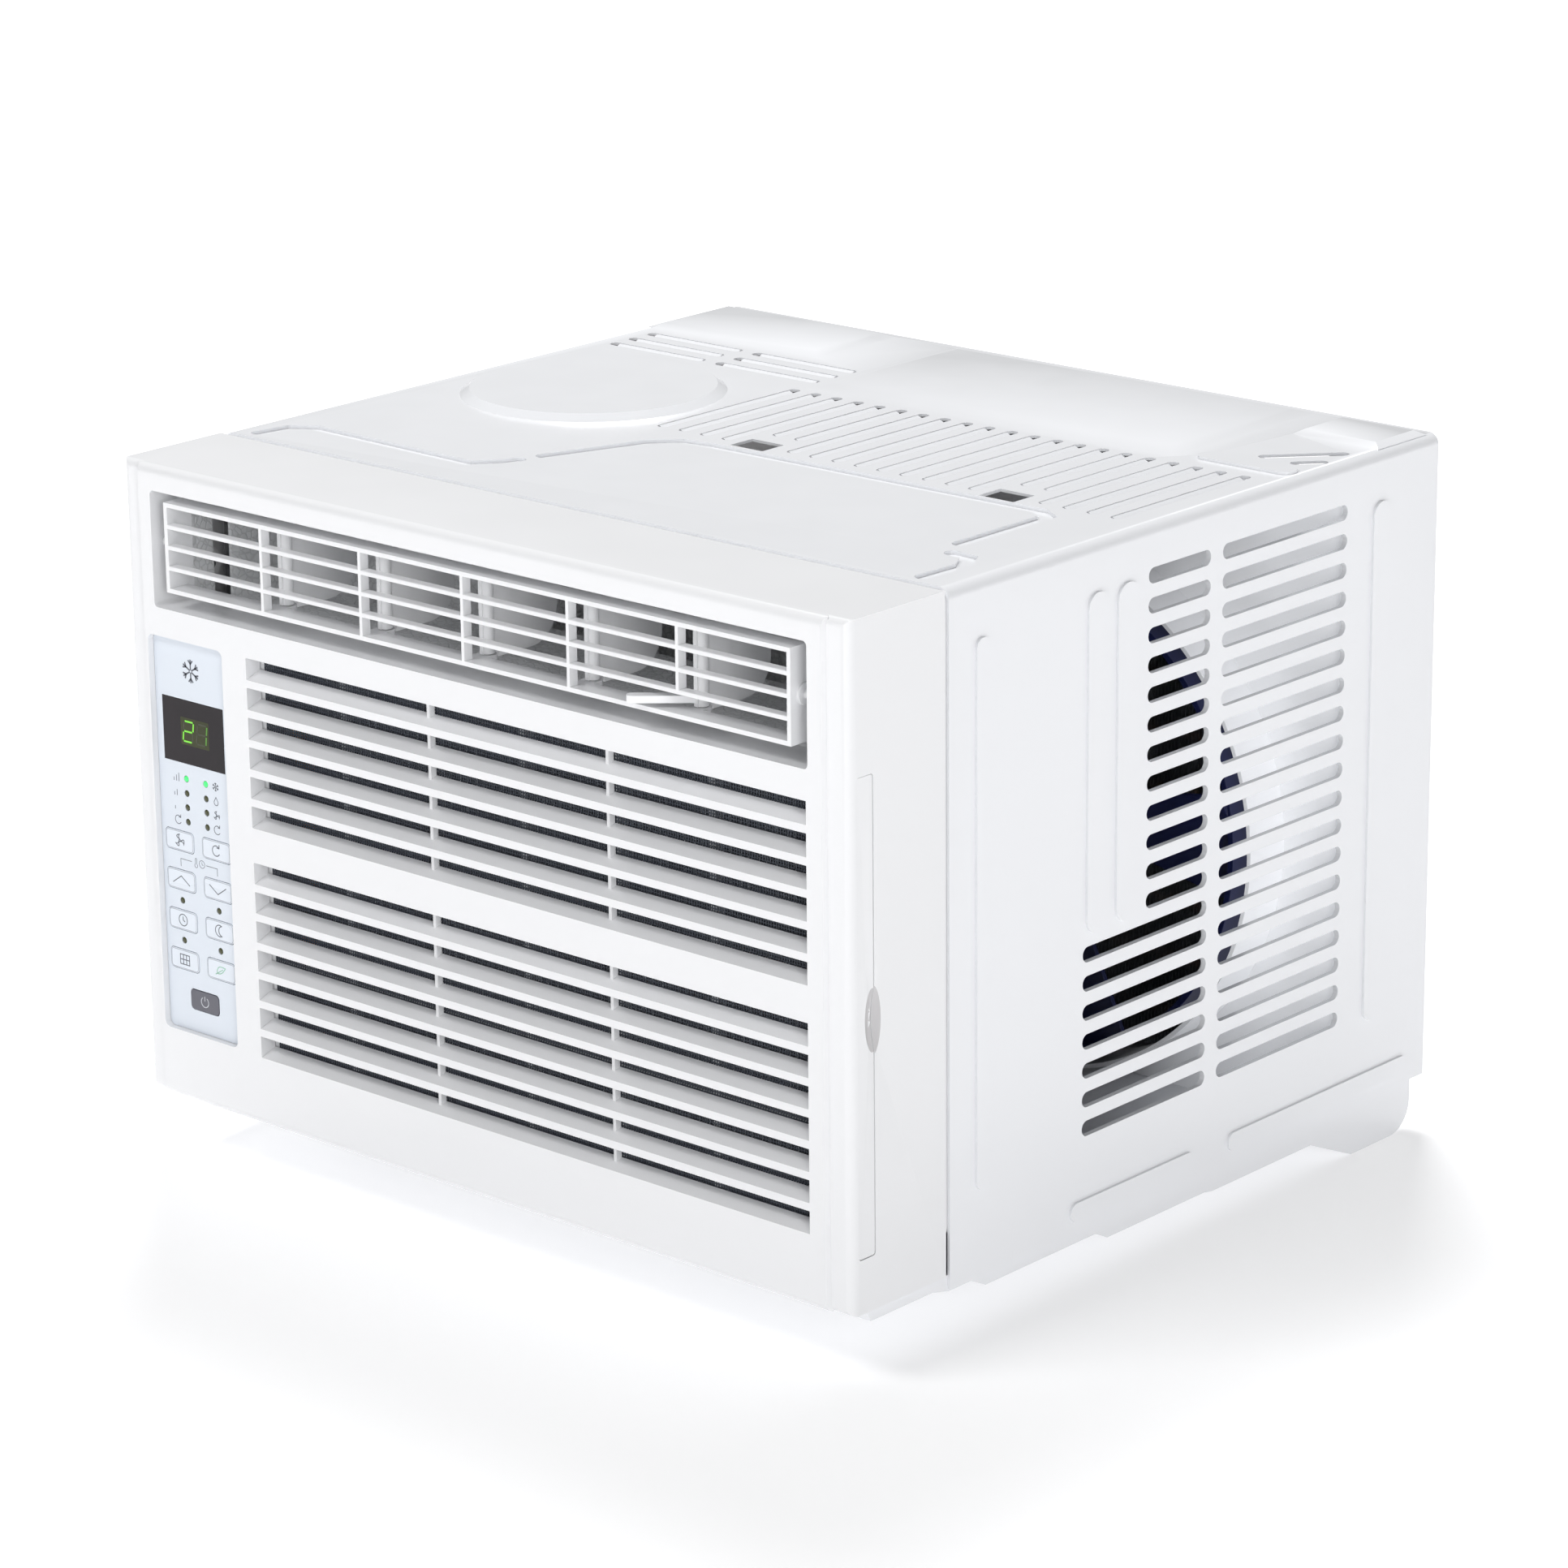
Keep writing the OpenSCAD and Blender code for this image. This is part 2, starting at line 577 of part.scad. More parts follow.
// ---- Louvre with its five vanes ----
louvre_half = 175.8;
louvre_z0 = 229.1;
louvre_z1 = 268.3;
louvre_back = 7.9;
grid_back = 2.6;                          // how far the thin bars reach back
rail_t = 2;
bar_z = [258, 249, 240];
pivot_r = 2;
vane_y = 12;                              // vane pivots behind the louvre's bars
vane_pin_r = 1.6;
running_gap = 0.05;
lever_vane = 5;
link_y = 40;
link_z = 264.5;
link_t = 2;
link_pin_r = 1.5;
function vane_x(i) = (i - 3) * vane_pitch;
module louvre_bar_2d(z) {
    polygon([[-plate_proud, z - 1], [-plate_proud, z + 0.7], [-plate_proud + 0.3, z + 0.9],
        [grid_back - 0.6, z + 1], [grid_back - 0.6, z - 0.3]]);
}
module louver_frame() {
    color(white) placed() difference() {
        union() {
            both_sides() block(louvre_half - rail_t, louvre_half, -plate_proud, vane_y, louvre_z0, louvre_z1);
            along_x(-louvre_half, louvre_half) {
                rect_2d(-plate_proud, louvre_back, louvre_z0, louvre_z0 + rail_t);
                rect_2d(-plate_proud, louvre_back, louvre_z1 - rail_t, louvre_z1);
                for (z = bar_z) louvre_bar_2d(z);
            }
            for (i = [1 : 5]) {
                block(vane_x(i) - 0.8, vane_x(i) + 0.8, -plate_proud, grid_back,
                    i == lever_vane ? bar_z[2] : louvre_z0, louvre_z1);
                for (z = [louvre_z0, louvre_z1 - rail_t]) {
                    block(vane_x(i) - 4, vane_x(i) + 4, louvre_back - cut, vane_y, z, z + rail_t);
                    rod_z(vane_x(i), vane_y, 4, z, z + rail_t);
                }
            }
            both_sides() rod_x(tilt_y, tilt_z, pivot_r, louvre_half - cut, outlet[1] + tunnel_t - 0.5);
            both_sides() rod_x(tilt_y, tilt_z, pivot_r + 2.5, louvre_half - cut, louvre_half + 1);
        }
        for (i = [1 : 5]) rod_z(vane_x(i), vane_y, vane_pin_r + running_gap, louvre_z0 - cut, louvre_z1 + cut);
    }
}
// Flat blade with a large round lower rear corner, on a pin at its front edge
module vane_blade_2d() {
    bottom = 229;
    top = link_z - 0.5;
    back = 51.7;
    low_r = 15;
    high_r = 6;
    rect_2d(8.5, back - low_r, louvre_z0 + rail_t + 0.4, top);
    rect_2d(17.5, back - low_r, bottom, top);
    rect_2d(back - low_r, back, bottom + low_r, top - high_r);
    rect_2d(back - low_r, back - high_r, bottom + low_r, top);
    translate([back - low_r, bottom + low_r]) circle(low_r);
    translate([back - high_r, top - high_r]) circle(high_r);
}
module vane(i) {
    x = vane_x(i);
    color(vane_grey) placed() {
        along_x(x - 1, x + 1) vane_blade_2d();
        rod_z(x, vane_y, 3, louvre_z0 + rail_t + 0.4, link_z - 0.5);
        rod_z(x, vane_y, vane_pin_r, louvre_z0 + 0.2, louvre_z1 - 0.2);
        rod_z(x, link_y, link_pin_r, link_z - 1.5, link_z + link_t + 0.6);
        if (i == lever_vane) {
            // finger lever, reaching forward and to the left through the lowest row
            along_z(233, 236) slanted_slot_2d([x, vane_y], [x - 20.5, front_y + 2.5], 5);
        }
    }
}
module vane_link() {
    color(vane_grey) placed() along_z(link_z, link_z + link_t) difference() {
        round_rect_2d(vane_x(1) - 5, vane_x(5) + 5, link_y - 3, link_y + 3, 2.9);
        for (i = [1 : 5]) translate([vane_x(i), link_y]) circle(link_pin_r + running_gap);
    }
}

// ---- Air path: duct, blower housing, bulkhead ----
duct_front = 20.4;
duct_z0 = 216;
duct_z1 = 280.2;
duct_t = 2;
scroll_y0 = 88;
scroll_y1 = 170;
wheel_r = 84;
wheel_inner_r = 70;
wheel_y0 = 94;
wheel_y1 = 162;
scroll_left = shaft_x - 104;
scroll_right = shaft_x + 108;
divider_y = 176;
divider_z0 = -10.8;
divider_z1 = 280.2;
shaft_r = 4;

function duct_outline(inset) = [[-189 + inset, duct_front - inset * 2], [-189 + inset, 36 + inset],
    [-181 + inset, 36 + inset], [-175 + inset, 70 - inset], [scroll_left - 10 + inset, 90 - inset],
    [scroll_left + inset, 108], [scroll_left + inset, scroll_y1 - inset],
    [scroll_right - inset, scroll_y1 - inset], [scroll_right - inset, 108],
    [180 - inset, 70 - inset], [181 - inset, 36 + inset], [189 - inset, 36 + inset],
    [189 - inset, duct_front - inset * 2]];
module discharge_duct() {
    color(foam_white) placed() difference() {
        along_z(duct_z0, duct_z1) polygon(duct_outline(0));
        along_z(duct_z0 + duct_t, duct_z1 - duct_t) polygon(duct_outline(duct_t));
        block(scroll_left + duct_t, scroll_right - duct_t, scroll_y0 + duct_t, scroll_y1 - duct_t,
            duct_z0 - cut, duct_z0 + duct_t + cut);
    }
}
// Spiral of four quarter turns that grow towards the outlet on the right
module volute_2d(grow) {
    translate([shaft_x, shaft_z]) {
        circle(wheel_r + 14 + grow);
        intersection() {
            translate([4, 0]) circle(wheel_r + 19.5 + grow);
            rect_2d(-20, 150, -150, 150);
        }
    }
    rect_2d(scroll_left - grow + duct_t, scroll_right + grow - duct_t, shaft_z, duct_z0 + grow - duct_t);
}
module blower_scroll() {
    color(foam_white) placed() difference() {
        along_y(scroll_y0, scroll_y1) volute_2d(duct_t);
        along_y(scroll_y0 + duct_t, scroll_y1 - duct_t) {
            volute_2d(0);
            rect_2d(scroll_left + duct_t, scroll_right - duct_t, 200, duct_z0 + cut);
        }
        rod_y(shaft_x, shaft_z, wheel_inner_r, scroll_y0 - cut, scroll_y0 + duct_t + cut);
        rod_y(shaft_x, shaft_z, 16, scroll_y1 - duct_t - cut, scroll_y1 + cut);
    }
}
module divider_panel() {
    color(galvanised) placed() difference() {
        along_z(divider_z0, divider_z1) polygon(band([[-199, 90], [scroll_left - 16, 94],
            [scroll_left - 6, 116], [scroll_left - 6, divider_y], [scroll_right + 6, divider_y],
            [scroll_right + 6, 116], [188, 104], [199, 104]], sheet_t));
        rod_y(shaft_x, shaft_z, 16, divider_y - 5, divider_y + 5);
        for (z = [suction_hole_z, capillary_hole_z]) rod_y(pipe_hole_x, z, 8, 85, 100);
    }
}
module top_brace() {
    color(galvanised) placed() {
        block(20, 50, divider_y + 0.6, shroud_y - 0.2, 276, 276 + sheet_t);
        block(20, 20 + sheet_t, divider_y + 0.6, shroud_y - 0.2, 268, 276);
        block(50 - sheet_t, 50, divider_y + 0.6, shroud_y - 0.2, 268, 276);
    }
}
module drip_tray() {
    color(foam_white) placed() difference() {
        block(-132, 194, 18, 68, -3.8, 15);
        block(-126, 188, 23, 64, 2, 15 + cut);
        block(-140, 200, 50.5, 70, -9, -3.7 + 0.2);
    }
}

// ---- Cooling coils ----
tube_r = 3.5;
evap_y = [35, 54];
evap_z0 = 30;
evap_pitch = 24;
evap_rows = 8;
evap_x0 = -120;
evap_x1 = 178;
cond_y = [348, 363];
cond_z0 = 8;
cond_pitch = 26;
cond_rows = 10;
cond_x0 = -150;
cond_x1 = 176;
fin_step = 6;
fin_t = 0.6;

// A pack of fins: a solid core between two tube rows with fins standing out of it
module fin_pack(x0, x1, y0, y1, z0, z1) {
    mid = (y0 + y1) / 2;
    steps = floor((x1 - x0) / fin_step);
    along_z(z0, z1) {
        rect_2d(x0, x1, mid - 1, mid + 1);
        for (i = [0 : steps]) rect_2d(x0 + i * fin_step, x0 + i * fin_step + fin_t, y0, y1);
    }
}
// Straight tubes in two rows, joined by return bends at both ends
module tube_bank(x0, x1, rows_y, z0, pitch, rows, z_cross) {
    overhang = 6;
    // crossover between the two rows
    translate([x0 - overhang, (rows_y[0] + rows_y[1]) / 2, z_cross]) rotate([0, 0, 90])
        rotate_extrude(angle = 180) translate([(rows_y[1] - rows_y[0]) / 2, 0]) circle(tube_r, $fn = 32);
    for (y = rows_y) {
        for (i = [0 : rows - 1]) rod_x(y, z0 + i * pitch, tube_r, x0 - overhang, x1 + overhang);
        for (i = [0 : rows - 2]) {
            right_end = i % 2 == 0;
            translate([right_end ? x1 + overhang : x0 - overhang, y, z0 + (i + 0.5) * pitch])
                rotate([90, 0, 0]) rotate([0, 0, right_end ? -90 : 90])
                    rotate_extrude(angle = 180) translate([pitch / 2, 0]) circle(tube_r, $fn = 32);
        }
    }
}
module evaporator_fins() {
    color(fin_metal) placed() fin_pack(evap_x0, evap_x1, 26, 63, 16, 212);
}
module evaporator_tubes() {
    color(copper) placed() tube_bank(evap_x0, evap_x1, evap_y, evap_z0, evap_pitch, evap_rows,
        evap_z0 + (evap_rows - 1) * evap_pitch);
}
module condenser_fins() {
    color(fin_metal) placed() fin_pack(cond_x0, cond_x1, 340, 371, -8, 262);
}
module condenser_tubes() {
    color(copper) placed() tube_bank(cond_x0, cond_x1, cond_y, cond_z0, cond_pitch, cond_rows, cond_z0);
}
module room_sensor() {
    color(black) placed() {
        rod_x(22, 120, 2.5, -108, -84);
        block(-112, -80, 22, 25.9, 119, 121);
    }
}

// ---- Fan, motor and shaft ----
shroud_y = 322;
shroud_t = 2;
shroud_r = fan_r + 5;
fan_y0 = 292;
fan_y1 = 314;
motor_y0 = 196;
motor_y1 = 262;
motor_r = 46;
bracket_y = 190;
module fan_shroud() {
    color([0.85, 0.86, 0.88]) placed() difference() {
        union() {
            along_y(shroud_y, shroud_y + shroud_t) rect_2d(-152, 198, -15.6, 270);
            block(-152, 198, shroud_y, 339, 268, 270);
            for (x = [-152, 196]) block(x, x + 2, shroud_y, 339, -15.6, 270);
            rod_y(shaft_x, shaft_z, shroud_r + 2, fan_y0 + 6, shroud_y + shroud_t);
        }
        rod_y(shaft_x, shaft_z, shroud_r, fan_y0, shroud_y + shroud_t + cut);
    }
}
module fan_motor() {
    color([0.25, 0.26, 0.28]) placed() difference() {
        union() {
            rod_y(shaft_x, shaft_z, motor_r, motor_y0 + 10, motor_y1 - 10);
            rod_y(shaft_x, shaft_z, motor_r - 4, motor_y0, motor_y1);
            rod_y(shaft_x, shaft_z, 12, motor_y0 - 4, motor_y1 + 8);
            for (a = [45 : 90 : 315]) translate([shaft_x, 0, shaft_z]) rotate([0, a, 0])
                rod_y(motor_r, 0, 6, motor_y0, motor_y0 + 6);
        }
        rod_y(shaft_x, shaft_z, shaft_r + running_gap, motor_y0 - 10, motor_y1 + 10);
        rod_y(shaft_x, shaft_z, motor_r - 12, motor_y0 + 14, motor_y1 - 14);
    }
}
module motor_bracket() {
    color(galvanised) placed() {
        difference() {
            along_y(bracket_y, bracket_y + 2) difference() {
                rect_2d(shaft_x - 52, shaft_x + 52, -14.8, shaft_z + 46);
                for (s = [-1, 1]) translate([shaft_x + s * 30, 20]) circle(12);
            }
            rod_y(shaft_x, shaft_z, 16, bracket_y - cut, bracket_y + 3);
        }
        block(shaft_x - 52, shaft_x + 52, bracket_y, bracket_y + 30, -14.8, -12.8);
        for (a = [45 : 90 : 315]) translate([shaft_x, 0, shaft_z]) rotate([0, a, 0])
            rod_y(motor_r, 0, 5, bracket_y + 1, motor_y0);
    }
}
module motor_shaft() {
    color([0.75, 0.76, 0.78]) placed() rod_y(shaft_x, shaft_z, shaft_r, wheel_y1 - 32, fan_y1 + 6);
}
module blower_wheel() {
    blade_span = wheel_r - wheel_inner_r;
    color(black) placed() translate([shaft_x, 0, shaft_z]) {
        along_y(wheel_y0, wheel_y1) for (i = [0 : wheel_blades - 1]) rotate(i * 360 / wheel_blades)
            translate([wheel_inner_r, 0]) rotate(25) square([blade_span * 0.9, 1.2]);
        for (y = [wheel_y0, wheel_y1 - 3]) along_y(y, y + 3) difference() {
            circle(wheel_r);
            circle(y == wheel_y0 ? wheel_inner_r + 6 : shaft_r);
        }
        along_y(wheel_y1 - 20, wheel_y1 - 1) difference() {
            circle(10);
            circle(shaft_r);
        }
    }
}
module condenser_fan() {
    blade_len = fan_r - 4 - 20;
    color(navy) placed() translate([shaft_x, 0, shaft_z]) {
        along_y(fan_y0, fan_y1) difference() {
            circle(24);
            circle(shaft_r);
        }
        along_y(fan_y0 + 3, fan_y1 - 3) difference() {
            circle(fan_r);
            circle(fan_r - 3);
        }
        for (i = [0 : fan_blades - 1]) rotate([0, i * 360 / fan_blades, 0])
            translate([21, (fan_y0 + fan_y1) / 2, 0]) rotate([22, 0, 0])
                along_y(-1, 1) intersection() {
                    polygon([[0, -8], [blade_len + 2.5, -34], [blade_len + 2.5, 30], [0, 12]]);
                    translate([-21, 0]) circle(fan_r - 1.5);
                }
    }
}
module fan_nuts() {
    color(galvanised) placed() for (y = [wheel_y1 - 25, fan_y1])
        translate([shaft_x, y, shaft_z]) rotate([-90, 0, 0]) hex_nut(13, 5, shaft_r);
}

// ---- Compressor and refrigerant circuit ----
compressor_r = 50;
compressor_z0 = 6;
compressor_z1 = 218;
grommet_r = 9;
accum = [-60, 240];
accum_r = 22;
module compressor() {
    color(black) placed() {
        translate([compressor_x, compressor_y, 0]) {
            along_z(compressor_z0, compressor_z1) circle(compressor_r);
            translate([0, 0, compressor_z1]) intersection() {
                translate([0, 0, -60]) sphere(78, $fn = 120);
                cylinder(r = compressor_r, h = 30);
            }
        }
        along_z(3, compressor_z0 + 0.5) difference() {
            union() {
                translate([compressor_x, compressor_y]) circle(compressor_r - 2);
                at_compressor_feet() circle(12.5);
                for (a = [90, 210, 330]) translate([compressor_x, compressor_y]) rotate(a)
                    rect_2d(0, compressor_feet_r, -11, 11);
            }
            at_compressor_feet() circle(5);
        }
    }
}
module compressor_grommets() {
    color(rubber_black) placed() at_compressor_feet() difference() {
        union() {
            along_z(plinth_top, 3) circle(grommet_r);
            along_z(3, 6.5) circle(4.9);
            along_z(6.5, 8) circle(grommet_r - 1);
        }
        along_z(plinth_top - cut, 10) circle(stud_r + 0.1);
    }
}
module compressor_nuts() {
    color(galvanised) placed() at_compressor_feet() translate([0, 0, 8]) hex_nut(10, 5, stud_r);
}
module terminal_cover() {
    color(black) placed() difference() {
        translate([compressor_x + 6, compressor_y - 6, 0]) along_z(228, 252) round_rect_2d(-20, 20, -14, 14, 5);
        translate([compressor_x, compressor_y, compressor_z1 - 60]) sphere(78, $fn = 120);
    }
}
module accumulator() {
    color(black) placed() {
        translate([accum.x, accum.y, 0]) {
            along_z(84, 178) circle(accum_r);
            for (z = [84, 178]) translate([0, 0, z]) sphere(accum_r);
            along_z(196, 214) circle(6);
        }
        // tie to the compressor's shell
        difference() {
            translate([accum.x, accum.y, 110]) rotate(200) translate([accum_r - 2, -6, 0]) cube([8, 12, 16]);
            translate([compressor_x, compressor_y, 0]) along_z(0, 200) circle(compressor_r);
        }
        pipe([[accum.x, accum.y, 66], [accum.x, accum.y, 48], [-84, 231, 48]], 4);
    }
}
pipe_hole_x = -110;                       // where the pipes pass the bulkhead
suction_hole_z = 42;
capillary_hole_z = 24;
discharge_stub = [compressor_x - 22, compressor_y + 18];
pipe_left_x = -172;
drier_x = -182;
cond_top_z = cond_z0 + (cond_rows - 1) * cond_pitch;
module suction_pipe() {
    color(copper) placed() pipe([[accum.x, accum.y, 214], [accum.x, accum.y, 232], [-70, 205, 232],
        [-78, 130, 232], [-78, 130, suction_hole_z], [pipe_hole_x, 125, suction_hole_z],
        [pipe_hole_x, 76, suction_hole_z], [-134, 76, suction_hole_z], [-134, evap_y[1], suction_hole_z],
        [-134, evap_y[1], evap_z0], [evap_x0 - 6, evap_y[1], evap_z0]], 4);
}
module discharge_pipe() {
    color(copper) placed() pipe([[discharge_stub.x, discharge_stub.y, 229],
        [discharge_stub.x, discharge_stub.y, 260], [pipe_left_x, discharge_stub.y, 260],
        [pipe_left_x, cond_y[1], 260], [pipe_left_x, cond_y[1], cond_top_z],
        [cond_x0 - 6, cond_y[1], cond_top_z]], 3.2);
}
module filter_drier() {
    color(copper) placed() {
        rod_z(drier_x, cond_y[0], 8, 130, 180);
        for (z = [130, 180]) translate([drier_x, cond_y[0], z]) sphere(8);
        pipe([[drier_x, cond_y[0], 185], [drier_x, cond_y[0], cond_top_z],
            [cond_x0 - 6, cond_y[0], cond_top_z]], 2.5);
    }
}
module capillary_tube() {
    color(copper) placed() pipe([[drier_x, cond_y[0], 123], [drier_x, cond_y[0], 100], [-191, 330, 100],
        [-191, 130, 100], [pipe_hole_x, 120, capillary_hole_z], [pipe_hole_x, 80, capillary_hole_z],
        [-143, 80, capillary_hole_z], [-143, evap_y[0], capillary_hole_z], [-143, evap_y[0], evap_z0],
        [evap_x0 - 6, evap_y[0], evap_z0]], 1.5);
}

// ---- Electrical box and control panel ----
box_x0 = -193;
box_x1 = -146;
module control_box() {
    color(galvanised) placed() difference() {
        block(box_x0, box_x1, 14.4, 78, 30, 214);
        block(box_x0 + 1.5, box_x1 - 1.5, 14.4 - cut, 76.5, 31.5, 212.5);
    }
}
board_y = 9.6;
board_t = 1.6;
module control_board() {
    color([0.10, 0.34, 0.16]) placed() {
        block(panel_x - 26, panel_x + 26, board_y, board_y + board_t, 36, 206);
        // tactile switches under the keys
        for (x = key_columns, z = key_rows) block(x - 3, x + 3, key_back + 0.8, board_y, z - 3, z + 3);
        block(panel_x - 3, panel_x + 3, key_back + 0.8, board_y, power_key_z - 3, power_key_z + 3);
        // digit block behind the display window, relay and transformer behind the board
        block(panel_x - 14, panel_x + 14, panel_back_y, board_y, 158, 178);
        block(panel_x - 20, panel_x, board_y + board_t, 30, 60, 90);
        block(panel_x - 20, panel_x + 12, board_y + board_t, 40, 100, 140);
    }
}
overlay_front = panel_floor_y - overlay_t;
key_back = 5.2;
module control_overlay() {
    color(pale_blue) placed() along_y(overlay_front, panel_floor_y) difference() {
        round_rect_2d(panel_x - panel_half + 0.15, panel_x + panel_half - 0.15, panel_z0 + 0.15, panel_z1 - 0.15, 2.9);
        all_keys_2d(key_gap);
        all_leds_2d(led_r + 0.2);
        rect_2d(panel_x - window_half - 0.05, panel_x + window_half + 0.05, window_z0 - 0.05, window_z1 + 0.05);
    }
}
module display_window() {
    color([0.14, 0.13, 0.15]) placed() {
        along_y(overlay_front, panel_floor_y) rect_2d(panel_x - window_half, panel_x + window_half, window_z0, window_z1);
        along_y(panel_floor_y, panel_back_y)
            rect_2d(panel_x - window_half + 2.2, panel_x + window_half - 2.2, window_z0 + 2.2, window_z1 - 2.2);
    }
}
module indicator_leds() {
    color([0.25, 0.75, 0.35]) placed() {
        along_y(overlay_front + 0.1, board_y) all_leds_2d(led_r);
    }
}
module key(x, z) {
    color(pale_blue) placed() {
        along_y(overlay_front - 0.2, key_back - 1) key_2d(z, x, 0);
        along_y(key_back - 1, key_back) round_rect_2d(x - key_w / 2 - 0.7, x + key_w / 2 + 0.7,
            z - key_h / 2 - 0.9, z + key_h / 2 + 0.9, 1.5);
    }
}
module run_capacitor() {
    color([0.70, 0.71, 0.73]) placed() {
        rod_z(-168, 58, 14, 150, 205);
        for (x = [-173, -163]) block(x - 0.4, x + 0.4, 55, 61, 205, 211);
    }
}
module capacitor_strap() {
    color(galvanised) placed() along_z(176, 184) {
        difference() {
            translate([-168, 58]) circle(15);
            translate([-168, 58]) circle(14);
        }
        rect_2d(box_x0 + 1.5, -182.5, 57.2, 58.8);
    }
}

base_pan();
front_feet();
wrap_cabinet();
rear_guard();
cabinet_screws();
front_bezel();
bezel_screws();
cord_gland();
divider_panel();
top_brace();
filter_frame();
filter_mesh();
louver_frame();
vane(1);  // vane_1
vane(2);  // vane_2
vane(3);  // vane_3
vane(4);  // vane_4
vane(5);  // vane_5
vane_link();
discharge_duct();
blower_scroll();
drip_tray();
evaporator_fins();
evaporator_tubes();
room_sensor();
condenser_fins();
condenser_tubes();
fan_shroud();
fan_motor();
motor_bracket();
motor_shaft();
blower_wheel();
condenser_fan();
fan_nuts();
compressor();
compressor_grommets();
compressor_nuts();
terminal_cover();
accumulator();
suction_pipe();
discharge_pipe();
filter_drier();
capillary_tube();
control_box();
control_board();
control_overlay();
display_window();
indicator_leds();
run_capacitor();
capacitor_strap();
key(key_columns[0], key_rows[0]);  // key_fan_speed
key(key_columns[1], key_rows[0]);  // key_mode
key(key_columns[0], key_rows[1]);  // key_temp_up
key(key_columns[1], key_rows[1]);  // key_temp_down
key(key_columns[0], key_rows[2]);  // key_timer
key(key_columns[1], key_rows[2]);  // key_sleep
key(key_columns[0], key_rows[3]);  // key_filter
key(key_columns[1], key_rows[3]);  // key_eco
key(panel_x, power_key_z);  // key_power
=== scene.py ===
import json
import math

import bpy
from mathutils import Matrix, Vector


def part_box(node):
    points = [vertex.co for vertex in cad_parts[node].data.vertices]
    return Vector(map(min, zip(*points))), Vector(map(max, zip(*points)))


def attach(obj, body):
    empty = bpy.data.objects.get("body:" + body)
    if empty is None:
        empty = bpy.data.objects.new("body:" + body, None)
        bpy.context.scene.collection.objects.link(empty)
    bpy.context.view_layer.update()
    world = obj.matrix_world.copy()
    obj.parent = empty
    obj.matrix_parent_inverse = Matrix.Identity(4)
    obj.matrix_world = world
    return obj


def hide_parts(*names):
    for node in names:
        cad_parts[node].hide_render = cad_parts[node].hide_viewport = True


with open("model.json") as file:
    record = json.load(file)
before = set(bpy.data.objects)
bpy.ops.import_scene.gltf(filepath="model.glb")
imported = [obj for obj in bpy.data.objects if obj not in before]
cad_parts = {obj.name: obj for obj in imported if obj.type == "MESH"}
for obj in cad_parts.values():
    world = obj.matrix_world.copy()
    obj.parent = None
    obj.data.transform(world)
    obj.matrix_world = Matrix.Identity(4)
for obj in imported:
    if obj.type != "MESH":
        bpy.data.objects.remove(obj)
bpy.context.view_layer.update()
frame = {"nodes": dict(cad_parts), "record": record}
nodes = frame["nodes"]
MM = 0.001
# Socket places of a colour Mix node
MIX_FACTOR, MIX_LOW, MIX_HIGH, MIX_RESULT = 0, 6, 7, 2


# ---------------------------------------------------------------- node helpers
class Shader:
    """A Principled material and short calls for the nodes that feed it."""

    def __init__(self, name, color, roughness, metallic=0.0, coat=0.0, ior=1.5):
        self.material = bpy.data.materials.new(name)
        self.material.use_nodes = True
        self.tree = self.material.node_tree
        self.bsdf = self.tree.nodes["Principled BSDF"]
        self.bsdf.inputs["Base Color"].default_value = (*color, 1)
        self.bsdf.inputs["Roughness"].default_value = roughness
        self.bsdf.inputs["Metallic"].default_value = metallic
        self.bsdf.inputs["Coat Weight"].default_value = coat
        self.bsdf.inputs["Coat Roughness"].default_value = 0.08
        self.bsdf.inputs["IOR"].default_value = ior
        self.coordinates = self.add("ShaderNodeTexCoord").outputs["Object"]

    def add(self, kind, **settings):
        node = self.tree.nodes.new(kind)
        for key, value in settings.items():
            setattr(node, key, value)
        return node

    def link(self, source, target):
        self.tree.links.new(source, target)

    def noise(self, scale, detail=3.0, rough=0.55, stretch=(1, 1, 1)):
        """Noise with features about 1/scale metres across."""
        mapping = self.add("ShaderNodeMapping")
        mapping.inputs["Scale"].default_value = stretch
        self.link(self.coordinates, mapping.inputs["Vector"])
        noise = self.add("ShaderNodeTexNoise")
        noise.inputs["Scale"].default_value = scale
        noise.inputs["Detail"].default_value = detail
        noise.inputs["Roughness"].default_value = rough
        self.link(mapping.outputs["Vector"], noise.inputs["Vector"])
        return noise.outputs["Fac"]

    def remap(self, source, low, high, new_low, new_high):
        node = self.add("ShaderNodeMapRange")
        values = {"From Min": low, "From Max": high, "To Min": new_low, "To Max": new_high}
        for key, value in values.items():
            node.inputs[key].default_value = value
        self.link(source, node.inputs["Value"])
        return node.outputs["Result"]

    def tint(self, source, low_color, high_color, low=0.35, high=0.65):
        """Base colour that runs between two colours with the source."""
        mix = self.add("ShaderNodeMix", data_type="RGBA")
        mix.inputs[MIX_LOW].default_value = (*low_color, 1)
        mix.inputs[MIX_HIGH].default_value = (*high_color, 1)
        self.link(self.remap(source, low, high, 0, 1), mix.inputs[MIX_FACTOR])
        self.link(mix.outputs[MIX_RESULT], self.bsdf.inputs["Base Color"])

    def rough(self, source, low, high):
        """Roughness that runs between two values with the source."""
        self.link(self.remap(source, 0.3, 0.7, low, high), self.bsdf.inputs["Roughness"])

    def bump(self, source, height, strength):
        """Surface relief of a height in metres."""
        node = self.add("ShaderNodeBump")
        node.inputs["Strength"].default_value = strength
        node.inputs["Distance"].default_value = height
        self.link(source, node.inputs["Height"])
        self.link(node.outputs["Normal"], self.bsdf.inputs["Normal"])


